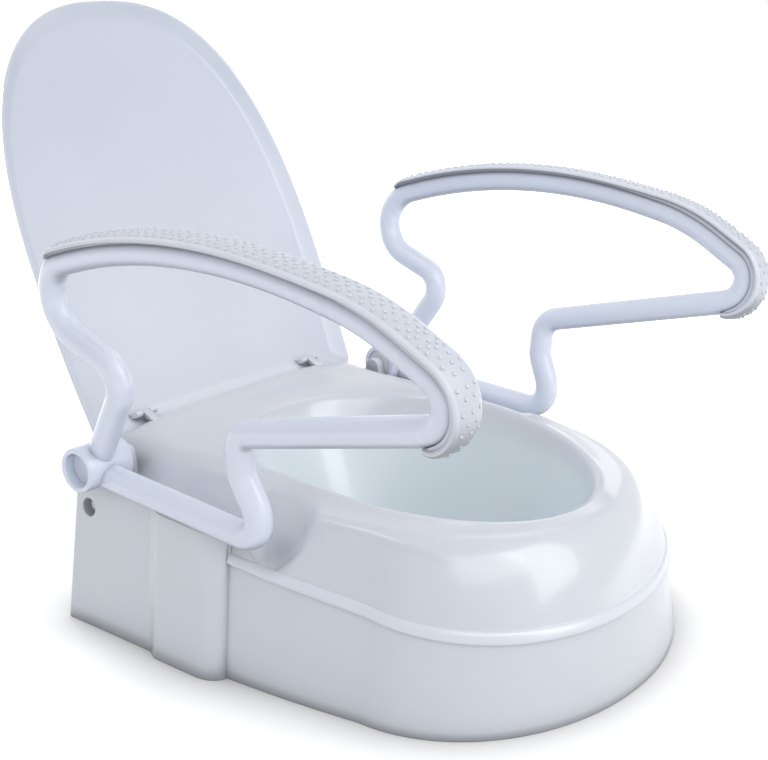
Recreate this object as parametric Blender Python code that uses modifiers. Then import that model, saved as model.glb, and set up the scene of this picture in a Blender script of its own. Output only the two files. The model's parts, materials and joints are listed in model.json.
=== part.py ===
"""Toilet seat raiser with a lid and two hinged arm rails.

Metres, +Z up. The nose points to -Y, the lid stands at +Y, and the two sides
mirror in X = 0. The skirt stands on Z = 0. "right" is the right-hand side of
the person who sits on it, at -X.
"""
import math

import bmesh
import bpy
from mathutils import Matrix, Vector

# General
WALL = 0.0032                # moulded wall of the body
FIT_GAP = 0.0003             # clearance between touching pieces
HAIR = 0.0001                # keeps the faces of two crossing solids out of one plane
BREAK = 0.001                # bevel of a small turned edge
FINE_BREAK = 0.0008
SKIRT_DRAFT = 0.085          # inward lean of the skirt's rear, per metre of height
NOSE_DRAFT = 0.145           # and of its front
SIDES = (("right", -1.0), ("left", 1.0))

# Skirt outline at the floor
NOSE_HALF_WIDTH = 0.2122
NOSE_LENGTH = 0.1648
NOSE_CENTRE_Y = -0.1129
NOSE_POWER = 2.053
SKIRT_SWELL = 0.002          # outward bow between the nose and the crease
CREASE_X = 0.229
CREASE_Y = 0.032
PILASTER_X = 0.2455
PILASTER_FRONT_Y = 0.057
PILASTER_REAR_Y = 0.110
PANEL_X = 0.2385
PANEL_FRONT_Y = 0.129
REAR_Y = 0.249
REAR_CORNER_R = 0.004

# Bead that runs round the top of the skirt's front
BEAD_NOSE_Z = 0.0852
BEAD_SLOPE = 0.1127
BEAD_HEIGHT = 0.0034
BEAD_PROUD = 0.0012

# Dome, deck and seat opening, as half ovals about one centre
RING_CENTRE_Y = -0.015
SHOULDER_INSET = 0.039       # the dome's shoulder, inside the nose's widest place
SHOULDER_FRONT = 0.2015
SHOULDER_REAR = 0.241
SHOULDER_POWER = 6.0         # how square the ovals are towards the rear
TOP_INSET = 0.052            # the edge of the seat's flat top, from the same place
TOP_FRONT = 0.196
TOP_REAR = 0.222
TOP_POWER = 5.0
RIM_INSET = 0.0672           # the seat opening's edge, from the same place
RIM_FRONT = 0.187
RIM_REAR = 0.185
RIM_POWER = 2.4
RIM_ROLL = 0.006
RIM_ROUND = ((0.003, 0.0018, 2.3), (-0.001, 0.0065, 2.2))  # out, below and power
FUNNEL_HALF_WIDTH = 0.112
FUNNEL_FRONT = 0.130
FUNNEL_REAR = 0.122
FUNNEL_BOTTOM_Z = 0.030
DOME_SPREAD_POWER = 2.53     # how far out the dome's front stays high
DOME_RISE_POWER = 0.92       # and how full it is over the bead
DOME_POWER_REAR = 4.0
DOME_STEP = (0.10, 0.20)     # where the dome's front gives way to its rear
SEAT_FRONT_Z = 0.1624        # top of the seat at its front
SEAT_SLOPE = 0.048           # rise of the seat's front, per metre towards the rear
SEAT_REAR_Z = 0.1795         # top of the seat behind the opening's middle
SEAT_REAR_SLOPE = 0.02
SEAT_STEP = (-0.060, 0.050)  # where the seat's front gives way to its rear
DECK_REAR_Z = 0.1893         # top of the deck at its rear edge
DECK_SLOPE = 0.14
DECK_STEP = (0.125, 0.225)   # where the seat gives way to the deck
SHOULDER_DROP = 0.0010       # the dome's shoulder lies this far below the seat's top
SHOULDER_STEP = (0.10, 0.22)
RIM_FRONT_Z = 0.1612
RIM_SLOPE = 0.105
RIM_DROP = 0.001             # the rear of the opening's edge lies this far below the seat
RIM_STEP = (-0.060, 0.080)
FUNNEL_WAIST = 0.45          # how far in the funnel is at half its height

# Side ledges that the arm rails lie on
LEDGE_REAR_Z = 0.1529        # height under the hub
LEDGE_SLOPE = 0.056
LEDGE_TOE_X = 0.200
LEDGE_BLEND = 0.040          # width of the S-shaped wall from ledge to deck
LEDGE_EDGE_R = 0.003
LEDGE_SOFT = 0.006           # height over which the wall's edges are blended
LEDGE_WALL_OVER = 0.002      # how far the wall would rise past the deck
LEDGE_EDGE_FADE = 0.01       # width over which the ledge's rounded edge fades in
SWOOP_CENTRE_X = 0.234       # the ledge ends in a scoop round this place
SWOOP_CENTRE_Y = -0.012
SWOOP_BLEND = 0.024          # width of the wall at the scoop's front
SCOOP_X = 0.214              # the scoop's deepest place, beside the rail's front bend
SCOOP_Y = -0.010
SCOOP_REACH = 0.026
SCOOP_DEPTH = 0.028

# Arm hubs
HUB_Y = 0.195
HUB_R = 0.022
HUB_BORE_R = 0.0165
HUB_LENGTH = 0.053
HUB_INNER_X = 0.205
HUB_LEDGE_GAP = 0.0011
AXLE_R = 0.006
AXLE_HEAD_R = 0.0125
AXLE_HEAD_LENGTH = 0.005
BOSS_INNER_X = 0.191         # the closed lid passes inside this
AXLE_WEB = 0.0016            # left in the post behind the axle's blind end
BUSH_LENGTH = 0.026
BOSS_R = 0.0095
POST_SPREAD = 1.35           # width of the post's foot over its top's
HUB_WASHER_R = 0.0135
HUB_WASHER_THICK = 0.0016

# Arm rails: corners of the centre line, measured from the hub axis
TUBE_R = 0.0127
ARM_X = 0.232
ARM_LEAN = 0.125
ARM_SPLAY = 0.02
ARM_CORNERS = (
    (-0.0694, 0.1050, 0.0265),
    (0.0205, 0.1390, 0.0395),
    (0.0205, 0.1960, 0.0395),
    (-0.1653, 0.2509, 0.600),
    (-0.3638, 0.2084, 0.200),
    (-0.4330, 0.1673, 0.0244),
    (-0.4330, 0.1341, 0.0244),
    (-0.2052, 0.0792, 0.022),
    (-0.2046, 0.0400, 0.030),
    (-0.2180, 0.0100, 0.030),
    (-0.2180, -0.0221, 0.022),
)
ARM_LOWER_END_Z = -0.0076

# Arm pads
PAD_HALF_WIDTH = 0.017
PAD_CROWN = 0.0176           # above the tube's centre line
PAD_EDGE = 0.0142
PAD_EDGE_THICK = 0.0026
PAD_NOSE_LIFT = 0.0042
PAD_CRADLE_HALF_WIDTH = 0.0092
PAD_CRADLE_RIB = 0.0016
PAD_CORNERS = (2, 6)         # it begins in one bend of the rail and ends past another
PAD_END_RUN = 0.003
PAD_TIP_RUN = (-0.010, 0.014)    # the pad's tips taper over this run
PAD_TIP_SHARE = 0.45             # to this share of its width
PAD_TIP_CROWN = 0.0022
PAD_LIFT_IN = (0.55, 0.85)       # shares of its length between which the nose lifts
PAD_LIFT_OUT = (-0.02, 0.05)
PAD_SIDE_LEAN = 0.0004
PAD_SCREW_R = 0.0019
PAD_SCREW_HEAD_R = 0.0036
PAD_SCREW_HEAD = 0.0018
PAD_SCREW_SINK = 0.0028      # depth of the head's seat below the tube's skin
PAD_SCREW_BITE = 0.0026
PAD_SCREW_AT = (0.16, 0.50, 0.80)

# Lid and its hinge
LID_LEAN_DEG = 24.0
LID_LENGTH = 0.4475          # above the hinge axis
LID_HALF_WIDTH = 0.2045
LID_BASE_NARROWING = 0.007    # the base is this much less on each side
LID_WIDEST = 0.138
LID_TOP_POWER = 2.5
LID_WALL = 0.003
LID_BASE_BELOW_AXIS = 0.0115
LID_RIM_BEHIND_AXIS = 0.0018
LID_FLARE = 0.0122           # how far the sloping border reaches in
LID_BORDER_DEPTH = 0.0118    # and back
LID_DISH = 0.0135            # further depth of the dished panel
LID_DISH_WIDTH = 0.105
LID_BASE_CORNER_R = 0.012
HINGE_Y = 0.2405
HINGE_Z = 0.192
HINGE_PIN_R = 0.0025
KNUCKLE_R = 0.0060
LUG_X = 0.128
LUG_WIDTH = 0.010
LUG_FOOT = 0.012             # how far the lug is rooted in the deck
KNUCKLE_WIDTH = 0.008

# Supports on the bowl's rim, inside the hood
BOWL_RIM_Z = 0.055
FOOT_X = 0.152
FOOT_FRONT_Y = -0.085
FOOT_REAR_Y = 0.105
FOOT_WIDTH = 0.030
FOOT_LENGTH = 0.046
FOOT_PLATE = 0.0036
FOOT_PLATE_LIP = 0.001       # the plate stands out past its ribs
RIB_OVER = 0.02              # the ribs' cutters reach this far past the deck
REST_PAD_THICK = 0.004
REST_PAD_MARGIN = 0.002

# Rear fixings that go through the bowl's seat holes
FIXING_X = 0.0775
FIXING_Y = 0.190
FIXING_BOLT_R = 0.004
FIXING_BOLT_TIP_Z = 0.004
FIXING_HEAD_R = 0.0085
FIXING_HEAD_HEIGHT = 0.0055
FIXING_PLATE = 0.005
FIXING_PLATE_WIDTH = 0.050
FIXING_PLATE_LENGTH = 0.046
FIXING_SLOT_TRAVEL = 0.012
CONE_WASHER_R = 0.012
CONE_WASHER_TIP_R = 0.0075
CONE_WASHER_HEIGHT = 0.010
WING_NUT_R = 0.008
WING_NUT_HEIGHT = 0.010
WING_SPAN = 0.021
WING_THICK = 0.0036
WING_HEIGHT = 0.014
WING_BELOW = 0.002           # the wings start this far below the nut's top

# Recessed screw under each hub
SIDE_SCREW_Y = 0.217
SIDE_SCREW_Z = 0.124
SIDE_RECESS_R = 0.0095
SIDE_RECESS_DEPTH = 0.009
SIDE_SCREW_R = 0.0046
SIDE_SCREW_HEIGHT = 0.0028

# Facets
DOME_SHARES = (0.985, 0.94, 0.85, 0.70, 0.50, 0.28)
HUB_STEPS = 24
ROUND_STEPS = 20
SMALL_STEPS = 16
SCREW_STEPS = 10
TUBE_SIDE_LEVEL = 4
BEND_STEP_DEG = 15.0
ARCH_STEP_DEG = 5.0
ARCH_MIN_R = 0.1             # a bend wider than this counts as the arch

# Values worked out from the sizes above
SHOULDER_HALF_WIDTH = NOSE_HALF_WIDTH - SHOULDER_INSET
TOP_HALF_WIDTH = NOSE_HALF_WIDTH - TOP_INSET
RIM_HALF_WIDTH = NOSE_HALF_WIDTH - RIM_INSET
LID_BASE_HALF_WIDTH = LID_HALF_WIDTH - LID_BASE_NARROWING
CEILING_Z = DECK_REAR_Z + RIB_OVER
HUB_Z = LEDGE_REAR_Z + HUB_R + HUB_LEDGE_GAP
HUB_OUTER_X = HUB_INNER_X + HUB_LENGTH
BOSS_FACE_X = HUB_INNER_X - HUB_WASHER_THICK - 2 * FIT_GAP
AXLE_INNER_X = BOSS_INNER_X + AXLE_WEB + FIT_GAP
LEAN = math.radians(LID_LEAN_DEG)
LID_UP = Vector((0.0, math.sin(LEAN), math.cos(LEAN)))
LID_FRONT = Vector((0.0, -math.cos(LEAN), math.sin(LEAN)))
SUPPORT_Z = BOWL_RIM_Z + REST_PAD_THICK + FIT_GAP


def ledge_z(y):
    """Height of the ledge floor at a place along the body."""
    return LEDGE_REAR_Z + LEDGE_SLOPE * (y - HUB_Y)


def smooth(value, low, high):
    """0 below low, 1 above high, and a soft step between."""
    share = min(1.0, max(0.0, (value - low) / (high - low)))
    return share * share * (3.0 - 2.0 * share)


def mix(start, end, share):
    return start + (end - start) * share


def draft(y):
    """Inward lean of the skirt at a place along the body."""
    return mix(NOSE_DRAFT, SKIRT_DRAFT, smooth(y, NOSE_CENTRE_Y, CREASE_Y))


# Scene, collections and materials


def clear_scene():
    for item in list(bpy.data.objects):
        bpy.data.objects.remove(item, do_unlink=True)


def new_collection(name):
    group = bpy.data.collections.new(name)
    bpy.context.scene.collection.children.link(group)
    return group


def plastic(name, colour, roughness, metallic=0.0):
    material = bpy.data.materials.new(name)
    material.use_nodes = True
    shader = material.node_tree.nodes["Principled BSDF"]
    shader.inputs["Base Color"].default_value = (*colour, 1.0)
    shader.inputs["Roughness"].default_value = roughness
    shader.inputs["Metallic"].default_value = metallic
    return material


class Workshop:
    """Holds the collections, the root empty and the materials."""

    def __init__(self):
        clear_scene()
        self.parts = new_collection("toilet_seat_raiser")
        self.cutters = new_collection("cutters")
        self.root = bpy.data.objects.new("raiser_root", None)
        self.parts.objects.link(self.root)
        self.white = plastic("white_gloss_plastic", (0.84, 0.87, 0.92), 0.22)
        self.lid_white = plastic("lid_white_plastic", (0.86, 0.89, 0.93), 0.28)
        self.tube_white = plastic("white_coated_tube", (0.80, 0.85, 0.92), 0.30)
        self.pad_white = plastic("pad_white_plastic", (0.85, 0.87, 0.92), 0.42)
        self.nylon = plastic("natural_nylon", (0.80, 0.80, 0.76), 0.45)
        self.rubber = plastic("grey_rubber", (0.22, 0.22, 0.23), 0.75)
        self.steel = plastic("zinc_plated_steel", (0.62, 0.63, 0.65), 0.35, 1.0)

    def add(self, name, mesh, material=None, location=(0.0, 0.0, 0.0)):
        """A part when it has a material, or else a cutter."""
        item = bpy.data.objects.new(name, mesh)
        item.location = location
        if material is None:
            self.cutters.objects.link(item)
            item.hide_render = True
            item.display_type = "WIRE"
        else:
            self.parts.objects.link(item)
            mesh.materials.append(material)
        item.parent = self.root
        return item


# Mesh helpers


def mesh_from(bm, name, sharp_deg=35.0):
    bmesh.ops.recalc_face_normals(bm, faces=bm.faces)
    mesh = bpy.data.meshes.new(name)
    bm.to_mesh(mesh)
    bm.free()
    mesh.shade_smooth()
    mesh.set_sharp_from_angle(angle=math.radians(sharp_deg))
    return mesh


def loft(name, rings, close_ends=False, cap_ends=False):
    """Quads between rings of equal count. Each ring is a closed loop."""
    bm = bmesh.new()
    rows = [[bm.verts.new(point) for point in ring] for ring in rings]
    pairs = list(zip(rows, rows[1:]))
    if close_ends:
        pairs.append((rows[-1], rows[0]))
    for lower, upper in pairs:
        count = len(lower)
        for i in range(count):
            j = (i + 1) % count
            bm.faces.new((lower[i], lower[j], upper[j], upper[i]))
    if cap_ends:
        bm.faces.new(rows[0])
        bm.faces.new(rows[-1])
    bmesh.ops.triangulate(bm, faces=bm.faces)
    return mesh_from(bm, name)


def box(name, low, high):
    bm = bmesh.new()
    bmesh.ops.create_cube(bm, size=1.0)
    size = Vector(high) - Vector(low)
    middle = (Vector(high) + Vector(low)) / 2
    bmesh.ops.scale(bm, vec=size, verts=bm.verts)
    bmesh.ops.translate(bm, vec=middle, verts=bm.verts)
    return mesh_from(bm, name)


def cylinder(name, start, end, radius, steps=ROUND_STEPS):
    """A round bar between two points."""
    start = Vector(start)
    end = Vector(end)
    axis = end - start
    turn = axis.to_track_quat("Z", "Y").to_matrix().to_4x4()
    place = Matrix.Translation((start + end) / 2) @ turn
    bm = bmesh.new()
    bmesh.ops.create_cone(
        bm, cap_ends=True, segments=steps, radius1=radius, radius2=radius,
        depth=axis.length, matrix=place)
    return mesh_from(bm, name)


def turned(shop, name, profile, material, location, axis, steps=ROUND_STEPS, bored=False):
    """A lathe piece. The profile is (radius, height), top to bottom outside."""
    bm = bmesh.new()
    points = [bm.verts.new((radius, 0.0, height)) for radius, height in profile]
    for one, two in zip(points, points[1:]):
        bm.edges.new((one, two))
    if bored:
        bm.edges.new((points[-1], points[0]))
    mesh = bpy.data.meshes.new(name)
    bm.to_mesh(mesh)
    bm.free()
    item = shop.add(name, mesh, material, location)
    item.rotation_mode = "QUATERNION"
    item.rotation_quaternion = Vector(axis).to_track_quat("Z", "Y")
    screw = item.modifiers.new("Turn", "SCREW")
    screw.steps = steps
    screw.render_steps = steps
    screw.use_merge_vertices = True
    screw.merge_threshold = 0.00001
    screw.use_smooth_shade = True
    return item


def boolean(item, cutter, operation="DIFFERENCE"):
    step = item.modifiers.new(operation.title(), "BOOLEAN")
    step.operation = operation
    step.solver = "EXACT"
    step.object = cutter


def cut(shop, item, mesh):
    boolean(item, shop.add(mesh.name, mesh))


def join(shop, item, mesh):
    boolean(item, shop.add(mesh.name, mesh), "UNION")


# Body shell


def nose_arc(inset, count):
    """Front of the skirt, from the tip of the nose to its widest place."""
    points = []
    for i in range(count):
        angle = math.radians(90.0) * i / count
        x = (NOSE_HALF_WIDTH - inset) * math.sin(angle) ** (2.0 / NOSE_POWER)
        y = (NOSE_LENGTH - inset) * math.cos(angle) ** (2.0 / NOSE_POWER)
        points.append((x, NOSE_CENTRE_Y - y))
    return points


def skirt_half(inset):
    """Half of the skirt's outline, nose to rear, as (x, y, behind_crease)."""
    points = [(x, y, False) for x, y in nose_arc(inset, 12)]
    taper_steps = 5
    for i in range(taper_steps + 1):
        share = i / taper_steps
        swell = SKIRT_SWELL * math.sin(math.pi * share)
        x = mix(NOSE_HALF_WIDTH, CREASE_X, share) + swell - inset
        points.append((x, mix(NOSE_CENTRE_Y, CREASE_Y, share), False))
    round_steps = 4
    for i in range(1, round_steps + 1):
        angle = math.radians(90.0) * i / round_steps
        x = CREASE_X + (PILASTER_X - CREASE_X) * math.sin(angle) - inset
        y = PILASTER_FRONT_Y - (PILASTER_FRONT_Y - CREASE_Y) * math.cos(angle)
        points.append((x, y, True))
    points.append((PILASTER_X - inset, PILASTER_REAR_Y, True))
    points.append((PANEL_X - inset, PANEL_FRONT_Y, True))
    corner_y = REAR_Y - inset - REAR_CORNER_R
    points.append((PANEL_X - inset, mix(PANEL_FRONT_Y, corner_y, 0.5), True))
    corner_steps = 4
    for i in range(corner_steps + 1):
        angle = math.radians(90.0) * i / corner_steps
        x = PANEL_X - inset - REAR_CORNER_R * (1.0 - math.cos(angle))
        points.append((x, corner_y + REAR_CORNER_R * math.sin(angle), True))
    for share in (0.75, 0.5, 0.25, 0.0):
        x = (PANEL_X - inset - REAR_CORNER_R) * share
        points.append((x, REAR_Y - inset, True))
    return points


def both_halves(half):
    """Mirrors a half outline whose ends lie on X = 0 into one closed loop."""
    inner = half[1:-1]
    return half + [(-point[0], *point[1:]) for point in reversed(inner)]


def oval_point(direction, half_width, front, rear, front_power=2.0, rear_power=2.2):
    """Point on a half-oval pair in a direction seen from the ring centre."""
    x, y = direction
    reach = rear if y > 0 else front
    power = rear_power if y > 0 else front_power
    size = (abs(x) / half_width) ** power + (abs(y) / reach) ** power
    scale = size ** (-1.0 / power)
    return x * scale, y * scale + RING_CENTRE_Y


def bead_z(y):
    nose_y = NOSE_CENTRE_Y - NOSE_LENGTH
    return BEAD_NOSE_Z + BEAD_SLOPE * (y - nose_y)


def top_z(y):
    """Height of the seat's and deck's top along the body."""
    front_y = RING_CENTRE_Y - TOP_FRONT
    front = SEAT_FRONT_Z + SEAT_SLOPE * max(0.0, y - front_y)
    middle = SEAT_REAR_Z + SEAT_REAR_SLOPE * (y - CREASE_Y)
    blended = mix(front, middle, smooth(y, *SEAT_STEP))
    rear = DECK_REAR_Z + DECK_SLOPE * (y - (REAR_Y - SKIRT_DRAFT * DECK_REAR_Z))
    return mix(blended, rear, smooth(y, *DECK_STEP))


def rim_z(y):
    """Height of the opening's edge along the body."""
    front = RIM_FRONT_Z + RIM_SLOPE * (y - (RING_CENTRE_Y - RIM_FRONT))
    return mix(front, SEAT_REAR_Z - RIM_DROP, smooth(y, *RIM_STEP))


def shoulder_z(y):
    """Height of the dome's shoulder along the body."""
    return top_z(y) - mix(SHOULDER_DROP, 0.0, smooth(y, *SHOULDER_STEP))


def soft_min(one, two, reach):
    """The lower of two heights, blended where they are within reach."""
    share = max(reach - abs(one - two), 0.0) / reach
    return min(one, two) - share * share * reach / 4.0


def ledge_height(x, y):
    """Height of a side ledge's floor and of the S-shaped wall that rises from it."""
    across = SWOOP_CENTRE_X - abs(x)
    along = SWOOP_CENTRE_Y - y
    depth = LEDGE_TOE_X - abs(x)
    blend = LEDGE_BLEND
    if along > 0.0:
        turn = math.atan2(along, max(across, 0.0)) / math.radians(90.0)
        depth = math.hypot(max(across, 0.0), along) - (SWOOP_CENTRE_X - LEDGE_TOE_X)
        blend = mix(LEDGE_BLEND, SWOOP_BLEND, turn)
    share = min(1.0, max(0.0, depth / blend))
    floor = ledge_z(y)
    rise = top_z(y) + LEDGE_WALL_OVER - floor
    above = max(0.0, depth - blend)
    away = math.hypot(abs(x) - SCOOP_X, y - SCOOP_Y) / SCOOP_REACH
    dip = SCOOP_DEPTH * math.exp(-away * away)
    return floor + rise * (0.5 - 0.5 * math.cos(math.pi * share)) + above - dip


def lowered(ring, drop=0.0):
    """A ring of the dome, cut down to the ledges."""
    return [(x, y, soft_min(z, ledge_height(x, y) - drop, LEDGE_SOFT)) for x, y, z in ring]


def outline_ring(inset, z_of, proud=0.0, edge=0.0):
    """A ring of the skirt. z_of takes y and whether it is behind the crease."""
    ring = []
    for i, (x, y, rear) in enumerate(both_halves(skirt_half(0.0))):
        z = z_of(y, rear)
        beside = smooth(abs(x), LEDGE_TOE_X - LEDGE_EDGE_FADE, LEDGE_TOE_X + LEDGE_EDGE_FADE)
        out = -edge * beside if rear else proud
        lean = inset + draft(y) * z - out
        point = both_halves(skirt_half(lean))[i]
        ring.append((point[0], point[1], z))
    return ring


def skirt_top_z(y, rear, below=0.0, edge_below=0.0):
    """Where the skirt ends and the dome or the ledge starts."""
    if rear:
        return ledge_z(y) - edge_below
    return bead_z(y) - below


def skirt_top_rings():
    """The bead round the front, which is the ledge's rounded edge at the rear."""
    rings = []
    for proud, share, degrees in ((0.0, 1.0, 0.0), (1.0, 0.75, 30.0), (1.0, 0.25, 60.0),
                                  (0.0, 0.0, 90.0)):
        angle = math.radians(degrees)
        below = BEAD_HEIGHT * share
        edge_below = LEDGE_EDGE_R * (1.0 - math.sin(angle))
        rings.append(outline_ring(
            0.0, lambda y, rear: skirt_top_z(y, rear, below, edge_below),
            BEAD_PROUD * proud, LEDGE_EDGE_R * (1.0 - math.cos(angle))))
    return rings


def directions():
    """Directions from the ring centre to each point of the skirt outline."""
    return [(x, y - RING_CENTRE_Y) for x, y, rear in both_halves(skirt_half(0.0))]


def oval_ring(half_width, front, rear, z_of, grow=0.0, rear_power=2.2, drop=0.0):
    ring = []
    for way in directions():
        x, y = oval_point(way, half_width + grow, front + grow, rear + grow,
                          rear_power=rear_power)
        ring.append((x, y, z_of(y) - drop))
    return ring


def dome_rings(base, shoulder, shares, drop=0.0):
    """Rings of a rounded shoulder between the skirt's top and the dome's."""
    rings = []
    for out in shares:
        ring = []
        for low, high in zip(base, shoulder):
            rear = smooth(low[1], *DOME_STEP)
            spread = mix(DOME_SPREAD_POWER, DOME_POWER_REAR, rear)
            rise = (1.0 - out ** spread) ** (1.0 / mix(DOME_RISE_POWER, DOME_POWER_REAR, rear))
            ring.append((mix(high[0], low[0], out), mix(high[1], low[1], out),
                         mix(low[2], high[2], rise)))
        rings.append(lowered(ring, drop))
    return rings


def funnel_rings(grow, drop, bottom_z):
    """Rings from the seat's top over the rim and down the funnel."""
    rim = (RIM_HALF_WIDTH, RIM_FRONT, RIM_REAR)
    flat = oval_ring(TOP_HALF_WIDTH, TOP_FRONT, TOP_REAR, top_z, 0.0, TOP_POWER, drop)
    rings = [lowered(flat, drop), oval_ring(*rim, rim_z, RIM_ROLL, RIM_POWER, drop)]
    for out, below, power in RIM_ROUND:
        rings.append(oval_ring(*rim, rim_z, grow + out, power, drop + below))
    half_width = mix(RIM_HALF_WIDTH, FUNNEL_HALF_WIDTH, FUNNEL_WAIST)
    front = mix(RIM_FRONT, FUNNEL_FRONT, FUNNEL_WAIST)
    rear = mix(RIM_REAR, FUNNEL_REAR, FUNNEL_WAIST)
    rings.append(oval_ring(half_width, front, rear,
                           lambda y: mix(rim_z(y), FUNNEL_BOTTOM_Z, 0.5), grow))
    rings.append(oval_ring(FUNNEL_HALF_WIDTH, FUNNEL_FRONT, FUNNEL_REAR,
                           lambda y: bottom_z, grow))
    return rings


def outer_solid():
    """Everything inside the body's outer skin, with the funnel open."""
    rings = [outline_ring(0.0, lambda y, rear: 0.0)]
    rings += skirt_top_rings()
    shoulder = oval_ring(SHOULDER_HALF_WIDTH, SHOULDER_FRONT, SHOULDER_REAR, shoulder_z,
                         rear_power=SHOULDER_POWER)
    rings += dome_rings(rings[-1], shoulder, DOME_SHARES)
    rings.append(lowered(shoulder))
    rings += funnel_rings(0.0, 0.0, FUNNEL_BOTTOM_Z)
    rings.append(oval_ring(FUNNEL_HALF_WIDTH, FUNNEL_FRONT, FUNNEL_REAR,
                           lambda y: FUNNEL_BOTTOM_Z, 2 * WALL))
    rings.append(outline_ring(2 * WALL, lambda y, rear: 0.0))
    return loft("body_shell", rings, close_ends=True)


def cavity_solid():
    """The hollow under the hood, between the skirt and the funnel."""
    below_floor = -0.005
    bottom = [(x, y, below_floor) for x, y, z in outline_ring(WALL, lambda y, rear: 0.0)]
    top = outline_ring(WALL, lambda y, rear: skirt_top_z(y, rear, WALL, WALL))
    shoulder = oval_ring(SHOULDER_HALF_WIDTH, SHOULDER_FRONT, SHOULDER_REAR, shoulder_z,
                         -WALL * 0.8, SHOULDER_POWER, WALL * 0.9)
    rings = [bottom, top]
    rings += dome_rings(top, shoulder, DOME_SHARES[1:], WALL * 1.15)
    rings.append(lowered(shoulder, WALL * 1.15))
    funnel = funnel_rings(WALL, WALL, FUNNEL_BOTTOM_Z)
    rings += [funnel[0], funnel[1], funnel[3], funnel[4], funnel[5]]
    rings.append([(x, y, below_floor) for x, y, z in funnel[5]])
    return loft("cavity", rings, close_ends=True)


def extruded(name, outline, x_low, x_high):
    """A solid with one outline in the YZ plane, between two X places."""
    rings = [[(x, y, z) for y, z in outline] for x in (x_low, x_high)]
    return loft(name, rings, cap_ends=True)


def side_span(side, low, high):
    """X limits, low before high, of something at low to high on one side."""
    return (low, high) if side > 0 else (-high, -low)


def sided_box(name, side, span_x, span_y, span_z):
    x_low, x_high = side_span(side, *span_x)
    return box(name, (x_low, span_y[0], span_z[0]), (x_high, span_y[1], span_z[1]))


def foot_solids(name, side, y):
    """Crossed ribs and a plate that stand on the bowl's rim."""
    x = FOOT_X
    half_wall = WALL / 2
    half_width = FOOT_WIDTH / 2
    half_length = FOOT_LENGTH / 2
    plate_width = half_width + FOOT_PLATE_LIP
    plate_length = half_length + FOOT_PLATE_LIP
    return [
        sided_box(name + "_rib_x", side, (x - half_width, x + half_width),
                  (y - half_wall, y + half_wall), (SUPPORT_Z, CEILING_Z)),
        sided_box(name + "_rib_y", side, (x - half_wall, x + half_wall),
                  (y - half_length, y + half_length), (SUPPORT_Z + HAIR, CEILING_Z)),
        sided_box(name + "_plate", side, (x - plate_width, x + plate_width),
                  (y - plate_length, y + plate_length),
                  (SUPPORT_Z - HAIR, SUPPORT_Z + FOOT_PLATE)),
    ]


def fixing_solids(name, side):
    """Two ribs and a slotted plate over one of the bowl's seat holes."""
    half_width = FIXING_PLATE_WIDTH / 2
    half_length = FIXING_PLATE_LENGTH / 2
    span_y = (FIXING_Y - half_length, FIXING_Y + half_length)
    solids = [sided_box(name + "_shoe", side, (FIXING_X - half_width, FIXING_X + half_width),
                        span_y, (BOWL_RIM_Z, BOWL_RIM_Z + FIXING_PLATE))]
    for label, x in (("inner", FIXING_X - half_width), ("outer", FIXING_X + half_width - WALL)):
        solids.append(sided_box(name + "_shoe_rib_" + label, side, (x + 2 * HAIR, x + WALL),
                                (span_y[0] + 2 * HAIR, span_y[1] - 2 * HAIR),
                                (BOWL_RIM_Z + 2 * HAIR, CEILING_Z)))
    return solids


def fixing_slot(name, side):
    half_width = FIXING_BOLT_R + FIT_GAP
    half_length = FIXING_SLOT_TRAVEL + half_width
    return sided_box(name + "_slot", side, (FIXING_X - half_width, FIXING_X + half_width),
                     (FIXING_Y - half_length, FIXING_Y + half_length),
                     (0.0, BOWL_RIM_Z + 2 * FIXING_PLATE))


def panel_x(z):
    """Outer face of the side panel at a height."""
    return PANEL_X - SKIRT_DRAFT * z


def lug_outline():
    """A rounded ear that reaches from the rear of the deck to the hinge axis."""
    points = []
    steps = 8
    for i in range(steps + 1):
        angle = math.radians(-90.0 + 180.0 * i / steps)
        points.append((HINGE_Y + KNUCKLE_R * math.cos(angle),
                       HINGE_Z + KNUCKLE_R * math.sin(angle)))
    root_y = REAR_Y - SKIRT_DRAFT * HINGE_Z - LUG_FOOT
    root_top = top_z(root_y) - WALL * 0.5
    points.append((root_y, root_top))
    points.append((root_y, root_top - KNUCKLE_R))
    return points


def post_outline():
    """The arm's post: a round top about the hub axis on a straight foot."""
    steps = 10
    points = []
    for i in range(steps + 1):
        angle = math.pi * i / steps
        points.append((HUB_Y + BOSS_R * math.cos(angle), HUB_Z + BOSS_R * math.sin(angle)))
    foot_z = LEDGE_REAR_Z - WALL * 0.7
    points.append((HUB_Y - BOSS_R * POST_SPREAD, foot_z))
    points.append((HUB_Y + BOSS_R * POST_SPREAD, foot_z))
    return points


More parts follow.
